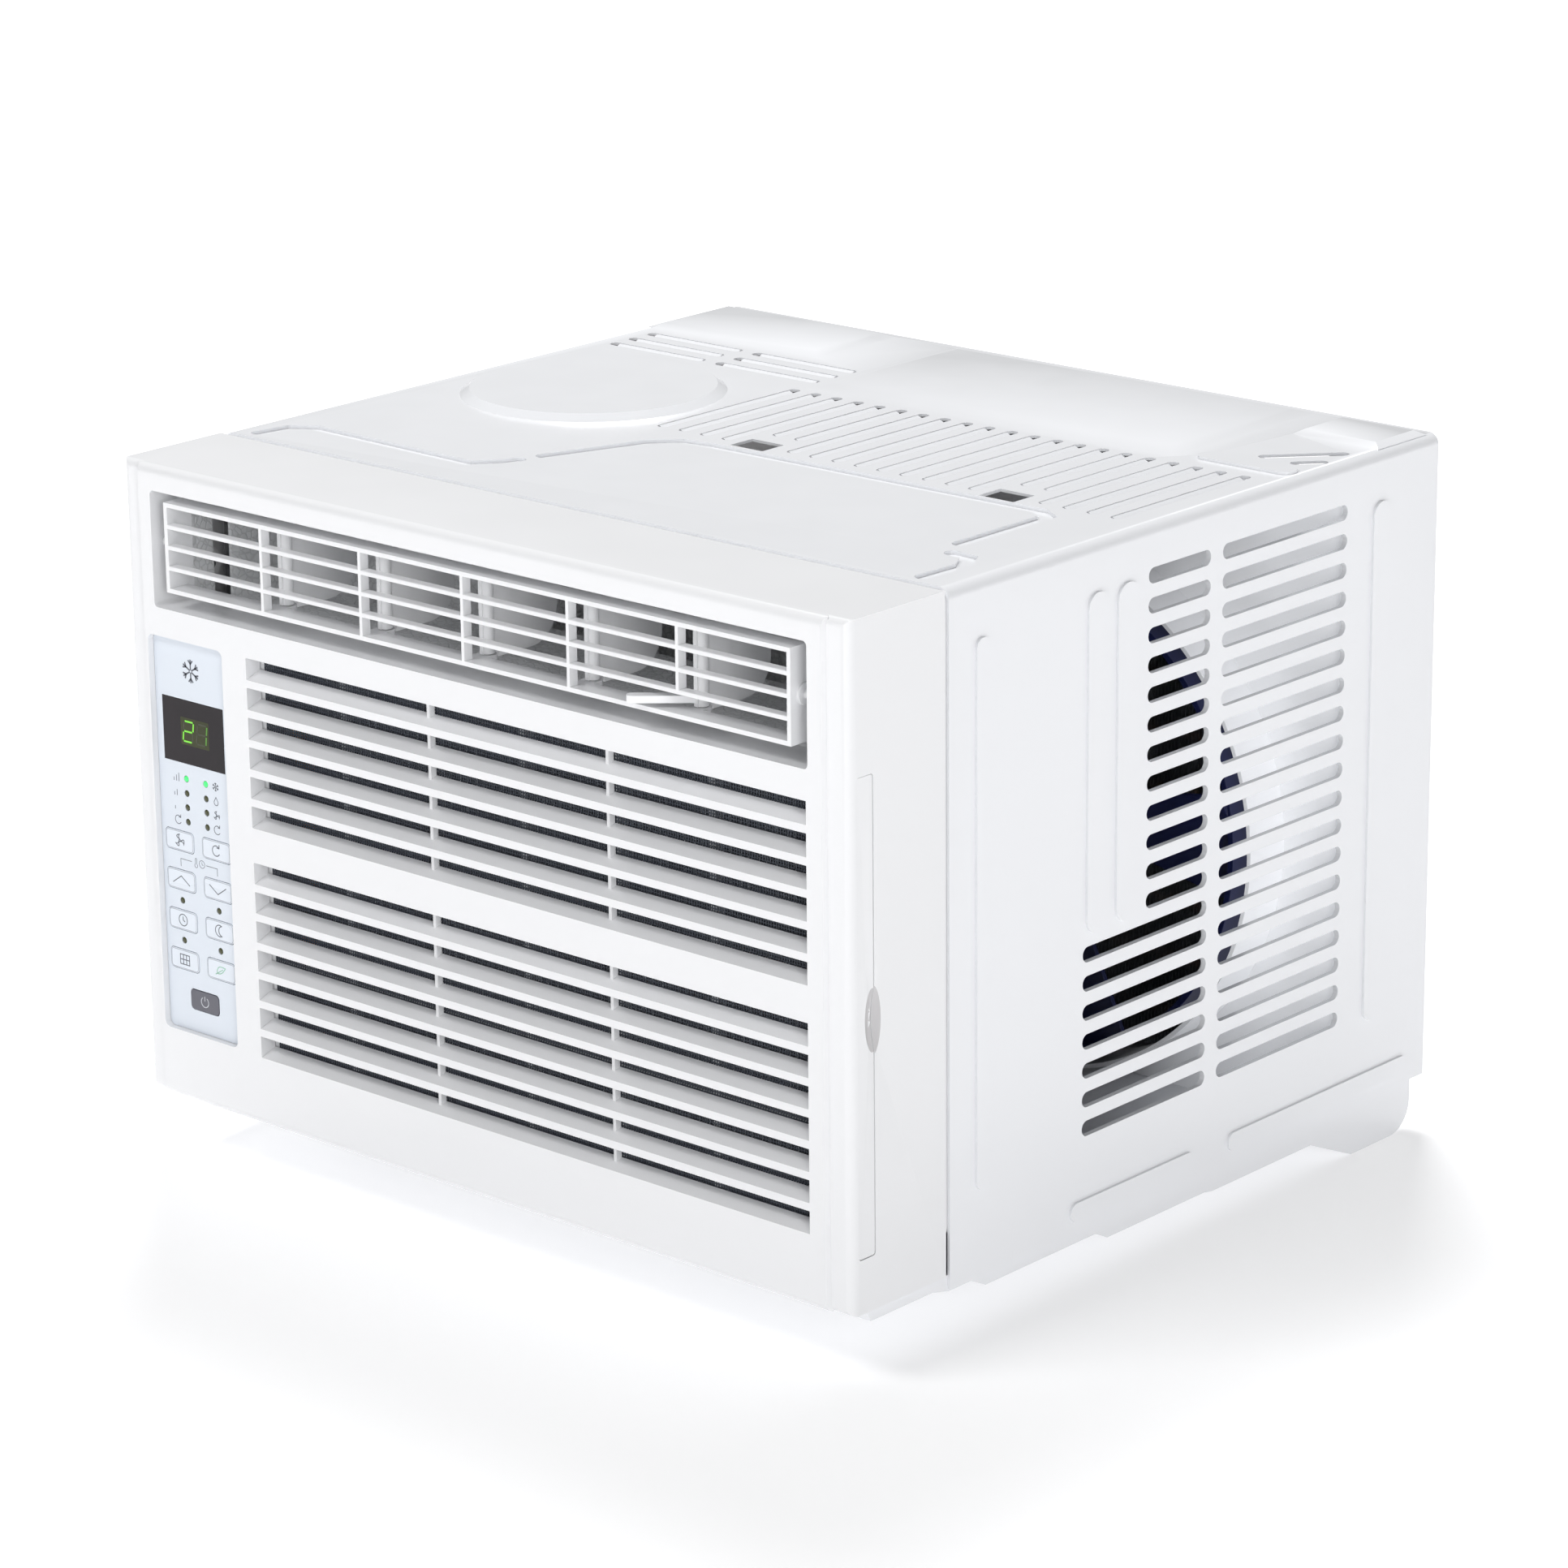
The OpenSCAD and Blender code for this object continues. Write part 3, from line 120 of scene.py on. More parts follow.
def shade(color, factor):
    """The colour made lighter or darker, never above white."""
    return tuple(min(1.0, c * factor) for c in color)


# ---------------------------------------------------------------- materials
def painted_steel(name, color):
    """Powder-coated sheet: fine orange peel and a faint uneven sheen."""
    s = Shader(name, color, 0.25, coat=0.3)
    s.tint(s.noise(9, 1), shade(color, 0.996), shade(color, 1.004), 0.2, 0.8)
    s.rough(s.noise(40, 1), 0.22, 0.25)
    s.bump(s.noise(500, 1, 0.4), 0.00002, 0.12)
    return s.material


def moulded_plastic(name, color, roughness, grain=700):
    """Injection-moulded plastic: slight flow marks and a fine spark texture."""
    s = Shader(name, color, roughness, coat=0.1)
    s.tint(s.noise(14, 1, 0.4, (1, 0.4, 0.4)), shade(color, 0.996), shade(color, 1.004), 0.2, 0.8)
    s.rough(s.noise(30, 1), roughness - 0.01, roughness + 0.02)
    s.bump(s.noise(grain, 1, 0.4), 0.00002, 0.12)
    return s.material


def plastic_with_painted_glow(name, color):
    """White plastic with a painted glow: emission standing in for light, strongest towards the slotted side.
    """
    dark_x, bright_x, painted_glow_peak = 0.09, 0.165, 0.34
    s = Shader(name, color, 0.2, coat=0.4)
    s.tint(s.noise(12, 1), shade(color, 0.97), shade(color, 1.02))
    s.rough(s.noise(30, 1), 0.18, 0.24)
    axes = s.add("ShaderNodeSeparateXYZ")
    s.link(s.coordinates, axes.inputs["Vector"])
    s.bsdf.inputs["Emission Color"].default_value = (0.94, 0.96, 1.0, 1)
    # painted light: the shroud glows, more towards the slotted side, though it is no lamp
    s.link(s.remap(axes.outputs["X"], dark_x, bright_x, 0, painted_glow_peak), s.bsdf.inputs["Emission Strength"])
    return s.material


def galvanised(name, color):
    """Zinc sheet with its spangle."""
    s = Shader(name, color, 0.38, metallic=1.0)
    cells = s.add("ShaderNodeTexVoronoi")
    cells.inputs["Scale"].default_value = 120
    s.link(s.coordinates, cells.inputs["Vector"])
    s.tint(cells.outputs["Distance"], shade(color, 0.88), shade(color, 1.1), 0.1, 0.8)
    s.rough(s.noise(150, 3), 0.3, 0.48)
    s.bump(s.noise(500, 3), 0.00003, 0.3)
    return s.material


def brushed(name, color, roughness, stretch=(1, 30, 30)):
    """Metal drawn or brushed along one axis."""
    s = Shader(name, color, roughness, metallic=1.0)
    lines = s.noise(300, 4, 0.6, stretch)
    s.tint(lines, shade(color, 0.85), shade(color, 1.1))
    s.rough(lines, roughness - 0.08, roughness + 0.12)
    s.bump(lines, 0.00002, 0.3)
    return s.material


def foam(name, color):
    """Expanded polystyrene: welded beads 3 mm across."""
    s = Shader(name, color, 0.75)
    beads = s.add("ShaderNodeTexVoronoi", feature="DISTANCE_TO_EDGE")
    beads.inputs["Scale"].default_value = 320
    s.link(s.coordinates, beads.inputs["Vector"])
    s.tint(beads.outputs["Distance"], shade(color, 0.86), shade(color, 1.03), 0.0, 0.12)
    s.bump(s.remap(beads.outputs["Distance"], 0, 0.15, 0, 1), 0.0003, 0.6)
    return s.material


def rubber(name, color):
    """Dull moulded rubber with a fine skin."""
    s = Shader(name, color, 0.7)
    s.tint(s.noise(200, 3), shade(color, 0.8), shade(color, 1.3))
    s.rough(s.noise(90, 3), 0.6, 0.82)
    s.bump(s.noise(2500, 2), 0.00004, 0.5)
    return s.material


def cloth_net(name, color):
    """Polymer thread, a little uneven in colour."""
    s = Shader(name, color, 0.65)
    s.tint(s.noise(900, 2), shade(color, 0.75), shade(color, 1.3))
    s.bump(s.noise(4000, 1), 0.00003, 0.4)
    return s.material


def circuit_board(name, color):
    """Solder mask over copper tracks."""
    s = Shader(name, color, 0.35, coat=0.3)
    tracks = s.add("ShaderNodeTexBrick")
    tracks.inputs["Scale"].default_value = 180
    tracks.inputs["Mortar Size"].default_value = 0.12
    s.link(s.coordinates, tracks.inputs["Vector"])
    s.tint(tracks.outputs["Fac"], color, shade(color, 1.7), 0, 1)
    s.bump(tracks.outputs["Fac"], 0.00004, 0.4)
    return s.material


def glow(name, color, strength, base):
    """A lit element: a coloured lens with light of its own."""
    s = Shader(name, base, 0.35)
    s.tint(s.noise(600, 2), shade(base, 0.85), shade(base, 1.15))
    s.bsdf.inputs["Emission Color"].default_value = (*color, 1)
    s.bsdf.inputs["Emission Strength"].default_value = strength
    return s.material


def ink(name, color, roughness=0.45):
    """Screen-printed ink, a little uneven in colour and height."""
    s = Shader(name, color, roughness)
    s.tint(s.noise(700, 2), shade(color, 0.92), shade(color, 1.08))
    s.bump(s.noise(5000, 1), 0.00001, 0.3)
    return s.material


def smoked_lens(name, color):
    """Dark glossy window that hides what is behind it."""
    s = Shader(name, color, 0.2)
    s.bsdf.inputs["Specular IOR Level"].default_value = 0.25
    s.tint(s.noise(30, 2), shade(color, 0.9), shade(color, 1.1))
    s.rough(s.noise(80, 2), 0.18, 0.26)
    return s.material


WHITE_STEEL = (0.86, 0.87, 0.895)
WHITE_PLASTIC = (0.845, 0.85, 0.865)
LOOKS = {
    "case_steel": painted_steel("case_paint", WHITE_STEEL),
    "bezel_plastic": moulded_plastic("bezel_abs", WHITE_PLASTIC, 0.24),
    "vane_plastic": moulded_plastic("vane_abs", (0.90, 0.905, 0.92), 0.35),
    "overlay_film": moulded_plastic("overlay_polyester", (0.72, 0.77, 0.84), 0.3, 2600),
    "key_film": moulded_plastic("key_polyester", (0.76, 0.81, 0.88), 0.28, 2600),
    "key_power_film": moulded_plastic("power_key_polyester", (0.105, 0.105, 0.13), 0.3, 2600),
    "display_lens": smoked_lens("display_smoke", (0.016, 0.012, 0.015)),
    "led_lens": moulded_plastic("led_epoxy", (0.05, 0.055, 0.015), 0.2),
    "filter_screen": cloth_net("filter_net", (0.065, 0.074, 0.092)),
    "foam": foam("duct_foam", (0.84, 0.85, 0.86)),
    "galvanised": galvanised("zinc_sheet", (0.62, 0.63, 0.65)),
    "screw_steel": brushed("zinc_plate", (0.66, 0.67, 0.69), 0.28),
    "fin_aluminium": brushed("fin_stock", (0.74, 0.76, 0.78), 0.35, (30, 30, 1)),
    "copper_tube": brushed("drawn_copper", (0.72, 0.36, 0.20), 0.3),
    # the shroud's material carries a painted glow
    "shroud_plastic": plastic_with_painted_glow("shroud_pp_painted_glow", (0.84, 0.845, 0.86)),
    "fan_plastic": moulded_plastic("fan_pp", (0.014, 0.020, 0.095), 0.35),
    "wheel_plastic": moulded_plastic("wheel_pp", (0.012, 0.012, 0.014), 0.45),
    "motor_paint": painted_steel("motor_enamel", (0.045, 0.048, 0.055)),
    "compressor_paint": painted_steel("compressor_enamel", (0.010, 0.010, 0.012)),
    "rubber": rubber("black_rubber", (0.018, 0.018, 0.020)),
    "circuit_board": circuit_board("solder_mask", (0.012, 0.09, 0.03)),
    "capacitor_can": brushed("can_aluminium", (0.74, 0.75, 0.77), 0.3),
}
SLOT_OF = {entry["node"]: entry["material_slot"] for entry in frame["record"]["subparts"]}


# ---------------------------------------------------------------- CAD nodes
# Width of the rounded edge that each node's real counterpart has, in millimetres
EDGE = {
    "wrap_cabinet": 0.55, "front_bezel": 0.8, "base_pan": 0.5, "rear_guard": 0.5,
    "louver_frame": 0.35, "filter_frame": 0.4, "control_overlay": 0.12, "display_window": 0.15,
    "cabinet_screws": 0.2, "bezel_screws": 0.2, "front_feet": 1.2, "discharge_duct": 1.5,
    "blower_scroll": 1.5, "drip_tray": 1.5, "compressor": 1.5, "fan_motor": 1.2,
    "motor_bracket": 0.5, "fan_shroud": 0.8, "condenser_fan": 0.4, "cord_gland": 0.8,
}
DEFAULT_EDGE = 0.3
KEY_EDGE = 0.18


def finish_cad_node(name, obj):
    """Material, smooth shading and rounded edges by modifiers."""
    obj.data.materials.clear()
    obj.data.materials.append(LOOKS[SLOT_OF[name]])
    if "custom_normal" in obj.data.attributes:
        obj.data.attributes.remove(obj.data.attributes["custom_normal"])
    for polygon in obj.data.polygons:
        polygon.use_smooth = True
    weld = obj.modifiers.new("weld", "WELD")
    weld.merge_threshold = 0.00001
    flat = obj.modifiers.new("merge_flats", "DECIMATE")
    flat.decimate_type = "DISSOLVE"
    flat.angle_limit = math.radians(0.3)
    edge = KEY_EDGE if name.startswith("key_") else EDGE.get(name, DEFAULT_EDGE)
    bevel = obj.modifiers.new("edges", "BEVEL")
    bevel.width = edge * MM
    bevel.segments = 3
    bevel.limit_method = "ANGLE"
    bevel.angle_limit = math.radians(32)
    bevel.use_clamp_overlap = True
    bevel.harden_normals = True


for node_name, node_object in nodes.items():
    finish_cad_node(node_name, node_object)


# ---------------------------------------------------------------- finger scoop, painted shade
SCOOP_REACH = 0.009               # from the end plate's outer face inwards, in metres
SCOOP_NORMAL_X = (0.05, 0.998)    # leaves out side walls and the flat outer face
SCOOP_MARGIN_Z = 0.004
SCOOP_MARGIN_FRONT = 0.006
SCOOP_MARGIN_REAR = 0.012


def paint_scoop_shade():
    """Painted shade: a darker grey plastic in the finger scoop of the filter's end plate and the bezel beside
    it.
    """
    plate = nodes["filter_frame"]
    inner_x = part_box("filter_frame")[1].x - SCOOP_REACH

    def slopes(polygon):
        return SCOOP_NORMAL_X[0] < polygon.normal.x < SCOOP_NORMAL_X[1] and polygon.center.x > inner_x

    scoop = [polygon.center for polygon in plate.data.polygons if slopes(polygon)]
    if not scoop:
        return
    low_y = min(c.y for c in scoop) - SCOOP_MARGIN_FRONT
    high_y = max(c.y for c in scoop) + SCOOP_MARGIN_REAR
    low_z = min(c.z for c in scoop) - SCOOP_MARGIN_Z
    high_z = max(c.z for c in scoop) + SCOOP_MARGIN_Z
    # painted shade: the scoop's recess is coloured darker in place of its shadow
    grey = moulded_plastic("scoop_painted_shade", (0.56, 0.55, 0.56), 0.3)
    for obj in (plate, nodes["front_bezel"]):
        obj.data.materials.append(grey)
        for polygon in obj.data.polygons:
            centre = polygon.center
            if slopes(polygon) and low_y < centre.y < high_y and low_z < centre.z < high_z:
                polygon.material_index = len(obj.data.materials) - 1


paint_scoop_shade()


# ---------------------------------------------------------------- mesh pieces
def box_mm(node):
    """Lowest and highest corner of a CAD node at rest, in millimetres."""
    low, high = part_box(node)
    return [v / MM for v in low], [v / MM for v in high]


def centre_mm(node):
    """Centre of a CAD node's box at rest, in millimetres."""
    low, high = box_mm(node)
    return [(a + b) / 2 for a, b in zip(low, high)]


def face_mm(node):
    """Lowest and highest corner of the flat face at a CAD node's very front, in millimetres."""
    thickness = 0.1 * MM
    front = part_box(node)[0].y
    face = [v.co / MM for v in nodes[node].data.vertices if v.co.y < front + thickness]
    return tuple([pick(c) for c in zip(*face)] for pick in (min, max))


class Piece:
    """Collects closed shapes, in millimetres, into one object."""

    SHARPEST_MITRE = 0.4

    def __init__(self, name):
        self.name = name
        self.vertices = []
        self.faces = []

    def add(self, vertices, faces):
        base = len(self.vertices)
        self.vertices += [tuple(v) for v in vertices]
        self.faces += [tuple(base + i for i in face) for face in faces]

    def box(self, low, high):
        corners = [(x, y, z) for z in (low[2], high[2]) for y in (low[1], high[1]) for x in (low[0], high[0])]
        bottom_top = [(0, 2, 3, 1), (4, 5, 7, 6)]
        front_back = [(0, 1, 5, 4), (2, 6, 7, 3)]
        left_right = [(0, 4, 6, 2), (1, 3, 7, 5)]
        self.add(corners, bottom_top + front_back + left_right)

    def prism(self, outline, y0, y1):
        """Outline of (x, z) points, anticlockwise seen from the front, between two depths."""
        n = len(outline)
        self.add(
            [(x, y0, z) for x, z in outline] + [(x, y1, z) for x, z in outline],
            [tuple(range(n)), tuple(range(2 * n - 1, n - 1, -1))]
            + [(i, n + i, n + (i + 1) % n, (i + 1) % n) for i in range(n)],
        )

    def ribbon(self, points, width, y0, y1, closed=False):
        """A line of even width along (x, z) points, mitred at the corners."""
        n = len(points)
        sides = ([], [])
        for i, (x, z) in enumerate(points):
            before = points[i - 1] if i or closed else points[i]
            after = points[(i + 1) % n] if i < n - 1 or closed else points[i]
            d1 = Vector((x - before[0], z - before[1]))
            d2 = Vector((after[0] - x, after[1] - z))
            d1 = d1.normalized() if d1.length else d2.normalized()
            d2 = d2.normalized() if d2.length else d1
            normal = Vector((-d1.y - d2.y, d1.x + d2.x)).normalized()
            reach = width / 2 / max(self.SHARPEST_MITRE, normal.dot(Vector((-d1.y, d1.x))))
            sides[0].append((x + normal.x * reach, z + normal.y * reach))
            sides[1].append((x - normal.x * reach, z - normal.y * reach))
        vertices = [(x, y, z) for y in (y0, y1) for side in sides for x, z in side]
        left0, right0, left1, right1 = 0, n, 2 * n, 3 * n
        faces = []
        for i in range(n if closed else n - 1):
            j = (i + 1) % n
            faces += [
                (left0 + i, right0 + i, right0 + j, left0 + j),
                (left1 + i, left1 + j, right1 + j, right1 + i),
                (left0 + i, left0 + j, left1 + j, left1 + i),
                (right0 + i, right1 + i, right1 + j, right0 + j),
            ]
        if not closed:
            e = n - 1
            faces += [(left0, left1, right1, right0), (left0 + e, right0 + e, right1 + e, left1 + e)]
        self.add(vertices, faces)

    def dome(self, x, y, z, radius, height, rings=5, sides=24):
        """A shallow lens bulging towards the front from the plane at y."""
        vertices, faces = [], []
        for i in range(rings):
            a = math.pi / 2 * i / rings
            for k in range(sides):
                b = 2 * math.pi * k / sides
                r = radius * math.cos(a)
                vertices.append((x + r * math.cos(b), y - height * math.sin(a), z + r * math.sin(b)))
        vertices.append((x, y - height, z))
        for i in range(rings - 1):
            for k in range(sides):
                m = (k + 1) % sides
                faces.append((i * sides + k, i * sides + m, (i + 1) * sides + m, (i + 1) * sides + k))
        top = (rings - 1) * sides
        faces += [(top + k, top + (k + 1) % sides, top + sides) for k in range(sides)]
        faces.append(tuple(range(sides - 1, -1, -1)))
        self.add(vertices, faces)

    def done(self, look, body, slot, replaces=(), smooth=False):
        """Makes the object, with its material and the body it rides on; slot is not used."""
        mesh = bpy.data.meshes.new(self.name)
        mesh.from_pydata([[c * MM for c in v] for v in self.vertices], [], self.faces)
        mesh.materials.append(look)
        if smooth:
            for polygon in mesh.polygons:
                polygon.use_smooth = True
        obj = bpy.data.objects.new(self.name, mesh)
        bpy.context.scene.collection.objects.link(obj)
        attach(obj, body)
        if replaces:
            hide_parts(*replaces)


def arc(cx, cz, radius, start, end, steps):
    """Points along an arc between two angles in degrees."""
    return [
        (cx + radius * math.cos(math.radians(a)), cz + radius * math.sin(math.radians(a)))
        for a in (start + (end - start) * i / steps for i in range(steps + 1))
    ]


def rounded(cx, cz, half_x, half_z, radius):
    """Outline of a rectangle with round corners."""
    points = []
    for sx, sz, start in ((1, 1, 0), (-1, 1, 90), (-1, -1, 180), (1, -1, 270)):
        points += arc(cx + sx * (half_x - radius), cz + sz * (half_z - radius), radius, start, start + 90, 6)
    return points


# ---------------------------------------------------------------- panel symbols
# Each symbol is a list of strokes (points, closed) around 0, 0, in millimetres.
def symbol_fan(r):
    """Three blades, each out along a flat curve and back along a full one, round a hub."""
    steps = 16
    blades = []
    for turn in (90, 210, 330):
        c, s = math.cos(math.radians(turn)), math.sin(math.radians(turn))
        outline = []
        for i in range(steps):
            way = 2 * i / steps
            if way <= 1:
                u, v = way, 0.1925 * math.sin(math.pi * way)
            else:
                u = 2 - way
                v = 0.55 * math.sin(math.pi * u) + 0.12 * u
            u, v = r * (0.22 + 0.78 * u), r * v
            outline.append((u * c - v * s, u * s + v * c))
        blades.append((outline, True))
    return blades + [(arc(0, 0, r * 0.15, 0, 337.5, 15), True)]


def symbol_snow(r):
    strokes = []
    for turn in range(0, 360, 60):
        t = math.radians(turn + 30)
        c, s = math.cos(t), math.sin(t)
        strokes.append(([(0.1 * r * c, 0.1 * r * s), (r * c, r * s)], False))
        tip = []
        for u, v in ((0.92, 0.26), (0.62, 0), (0.92, -0.26)):
            tip.append((r * (u * c - v * s), r * (u * s + v * c)))
        strokes.append((tip, False))
    return strokes


def symbol_drop(r):
    outline = [(0, r)] + [(x, z - 0.25 * r) for x, z in arc(0, 0, 0.66 * r, 28, -208, 20)]
    return [(outline, True)]


def symbol_cycle(r):
    tip_x, tip_z = arc(0, 0, r, 40, 330, 22)[0]
    arrow = [(tip_x + u * r, tip_z + v * r) for u, v in ((-0.62, 0.02), (0.04, -0.04), (0.1, 0.66))]
    return [(arc(0, 0, r, 40, 330, 22), False), (arrow, False)]


def symbol_up(r):
    return [([(-1.75 * r, -0.6 * r), (0, 0.6 * r), (1.75 * r, -0.6 * r)], False)]


def symbol_down(r):
    return [([(-1.75 * r, 0.6 * r), (0, -0.6 * r), (1.75 * r, 0.6 * r)], False)]


def symbol_clock(r):
    return [(arc(0, 0, r, 0, 345, 23), True), ([(0, 0.62 * r), (0, 0), (0.45 * r, -0.25 * r)], False)]


def symbol_moon(r):
    outer = arc(0, 0, r, 60, 300, 20)
    inner = arc(0.72 * r, 0, 0.9 * r, 256, 104, 16)
    return [(outer + inner, True)]


def symbol_grid(r):
    frame_line = [(-1.3 * r, -r), (1.3 * r, -r), (1.3 * r, r), (-1.3 * r, r)]
    lines = [(frame_line, True), ([(-1.3 * r, 0), (1.3 * r, 0)], False)]
    return lines + [([(x * r, -r), (x * r, r)], False) for x in (-0.43, 0.43)]


def symbol_leaf(r):
    upper = [(-r + 2 * r * i / 12, 0.62 * r * math.sin(math.pi * (i / 12) ** 0.8)) for i in range(13)]
    lower = [(x, -0.55 * z) for x, z in reversed(upper[1:-1])]
    turned = []
    for x, z in upper + lower:
        turned.append((x * 0.87 - z * 0.5, x * 0.5 + z * 0.87))
    return [(turned, True), ([(-1.2 * r, -0.72 * r), (0.35 * r, 0.2 * r)], False)]


def symbol_power(r):
    return [(arc(0, 0, r, 125, 415, 24), False), ([(0, 0.2 * r), (0, 1.15 * r)], False)]


def symbol_thermometer(r):
    bulb = arc(0, -1.3 * r, 0.9 * r, 120, 420, 16)
    stem = [(0.45 * r, 1.7 * r), (0, 2.1 * r), (-0.45 * r, 1.7 * r)]
    return [(bulb + stem, True)]


def symbol_bars(count):
    """A symbol of level bars that grow from left to right."""
    def bars(r):
        places = [((i - 1) * 0.8 * r, (0.8 + 0.6 * i) * r) for i in range(count)]
        return [([(x, -r), (x, height - r)], False) for x, height in places]

    return bars


INK_HEIGHT = 0.04    # ink stands this far in front of its face
INK_SINK = 0.02      # and goes this far into it


def draw(piece, strokes, cx, cz, width, front):
    """Adds a symbol's strokes as ribbons, centred on cx, cz, on the face at depth front."""
    for points, closed in strokes:
        shifted = [(cx + x, cz + z) for x, z in points]
        piece.ribbon(shifted, width, front - INK_HEIGHT, front + INK_SINK, closed)


# ---------------------------------------------------------------- control panel
INK_GREY = ink("ink_grey", (0.13, 0.14, 0.17))
INK_LINE = ink("ink_outline", (0.44, 0.46, 0.51))
INK_WHITE = ink("ink_white", (0.55, 0.56, 0.6))
INK_GREEN = ink("ink_green", (0.32, 0.58, 0.44))
LED_ON = glow("led_on", (0.05, 1.0, 0.16), 0.9, (0.05, 0.55, 0.12))
DIGIT_ON = glow("digit_on", (0.22, 0.72, 0.05), 0.8, (0.06, 0.28, 0.01))
DIGIT_DIM = glow("digit_dim", (0.22, 0.72, 0.05), 0.2, (0.04, 0.13, 0.01))
DIGIT_OFF = ink("digit_off", (0.034, 0.040, 0.014), 0.2)
DIGIT_PLATE = smoked_lens("digit_plate", (0.042, 0.048, 0.016))
KEY_SYMBOLS = {
    "key_fan_speed": (symbol_fan, 2.9, INK_GREY),
    "key_mode": (symbol_cycle, 2.3, INK_GREY),
    "key_temp_up": (symbol_up, 3.0, INK_GREY),
    "key_temp_down": (symbol_down, 3.0, INK_GREY),
    "key_timer": (symbol_clock, 2.6, INK_GREY),
    "key_sleep": (symbol_moon, 2.6, INK_GREY),
    "key_filter": (symbol_grid, 2.2, INK_GREY),
    "key_eco": (symbol_leaf, 3.0, INK_GREEN),
    "key_power": (symbol_power, 2.3, INK_WHITE),
}
KEY_MARK_WIDTH = 0.42
KEY_LINE_WIDTH = 0.3
KEY_LINE_INSET = 0.45
KEY_LINE_CORNER = 1.4
LAMP_SPREAD = 3.4      # wider than one lamp, narrower than the space between two
LAMP_DOME_R = 1.25
LAMP_DOME_H = 0.35
LEGEND_STEP = 6.2      # from a lamp to its symbol
LEGEND_SIZE = 1.9
LEGEND_WIDTH = 0.34
BRACKET_GAP_Z = 0.9    # between the temperature keys and their bracket
BRACKET_RISE = 3.4
BRACKET_HALF_BREAK = 4.5
BRACKET_WIDTH = 0.26
SMALL_MARK_WIDTH = 0.24
STAR_SIZE = 5.2
STAR_WIDTH = 0.75
PLATE_SHIFT_X = 0.9    # the digits' plate from the middle of the window
PLATE_UP = 14.6        # and from the window's lower edge
PLATE_HALF = (8.7, 6.1)
PLATE_PROUD = 0.03
LEFT_DIGIT, RIGHT_DIGIT = -4.1, 4.3
SEGMENT_WIDTH = 0.75


def add_key_marks():
    for key_name, (symbol, size, look) in KEY_SYMBOLS.items():
        low, high = face_mm(key_name)
        key_x, key_z = (low[0] + high[0]) / 2, (low[2] + high[2]) / 2
        slot_name = "key_power_film" if key_name == "key_power" else "key_film"
        mark = Piece(key_name + "_symbol")
        draw(mark, symbol(size), key_x, key_z, KEY_MARK_WIDTH, low[1])
        mark.done(look, key_name, slot_name)
        if key_name != "key_power":
            half_w = (high[0] - low[0]) / 2 - KEY_LINE_INSET
            half_h = (high[2] - low[2]) / 2 - KEY_LINE_INSET
            ring = rounded(key_x, key_z, half_w, half_h, KEY_LINE_CORNER)
            outline = Piece(key_name + "_outline")
            draw(outline, [(ring, True)], 0, 0, KEY_LINE_WIDTH, low[1])
            outline.done(INK_LINE, key_name, slot_name)


def lamp_spots():
    """Centres of the indicator lamps as (x, z), top first, found from the lamps' own vertices."""
    groups = []
    for vertex in nodes["indicator_leds"].data.vertices:
        point = (vertex.co.x / MM, vertex.co.z / MM)
        group = next((g for g in groups if math.dist(g[0], point) < LAMP_SPREAD), None)
        if group:
            group.append(point)
        else:
            groups.append([point])
    spots = [tuple((min(axis) + max(axis)) / 2 for axis in zip(*group)) for group in groups]
    return sorted(spots, key=lambda spot: -spot[1])


def mode_columns(lamps):
    """The lamps above the keys, as a left and a right column."""
    key_row = centre_mm("key_fan_speed")[2]
    above = [spot for spot in lamps if spot[1] > key_row]
    middle = sum(spot[0] for spot in above) / len(above)
    return [spot for spot in above if spot[0] < middle], [spot for spot in above if spot[0] > middle]


def add_lamp_lenses(lamps, lit):
    front = box_mm("indicator_leds")[0][1]
    lens_on, lens_off = Piece("led_lit_lenses"), Piece("led_dark_lenses")
    for spot in lamps:
        lens = lens_on if spot in lit else lens_off
        lens.dome(spot[0], front + INK_SINK, spot[1], LAMP_DOME_R, LAMP_DOME_H)
    lens_on.done(LED_ON, "root", "led_lens", smooth=True)
    lens_off.done(LOOKS["led_lens"], "root", "led_lens", smooth=True)


def add_legend(columns):
    """Symbols beside the lamps, a bracket over the temperature keys and a star at the top."""
    legend = Piece("panel_legend")
    front = box_mm("control_overlay")[0][1]
    side_symbols = (
        (symbol_bars(3), symbol_bars(2), symbol_bars(1), symbol_cycle),
        (symbol_snow, symbol_drop, symbol_fan, symbol_cycle),
    )
    for column, symbols, step in zip(columns, side_symbols, (-LEGEND_STEP, LEGEND_STEP)):
        for (x, z), symbol in zip(column, symbols):
            draw(legend, symbol(LEGEND_SIZE), x + step, z, LEGEND_WIDTH, front)
    left, right = centre_mm("key_fan_speed")[0], centre_mm("key_mode")[0]
    middle = (left + right) / 2
    low_z = box_mm("key_temp_up")[1][2] + BRACKET_GAP_Z
    high_z = low_z + BRACKET_RISE
    for side, inner in ((left, middle - BRACKET_HALF_BREAK), (right, middle + BRACKET_HALF_BREAK)):
        draw(legend, [([(side, low_z), (side, high_z), (inner, high_z)], False)], 0, 0, BRACKET_WIDTH, front)
    draw(legend, symbol_thermometer(1), middle - 1.8, high_z, SMALL_MARK_WIDTH, front)
    draw(legend, symbol_clock(1.7), middle + 1.9, high_z, SMALL_MARK_WIDTH, front)
    star_z = (box_mm("control_overlay")[1][2] + box_mm("display_window")[1][2]) / 2
    draw(legend, symbol_snow(STAR_SIZE), middle, star_z, STAR_WIDTH, front)
    legend.done(INK_GREY, "root", "overlay_film")


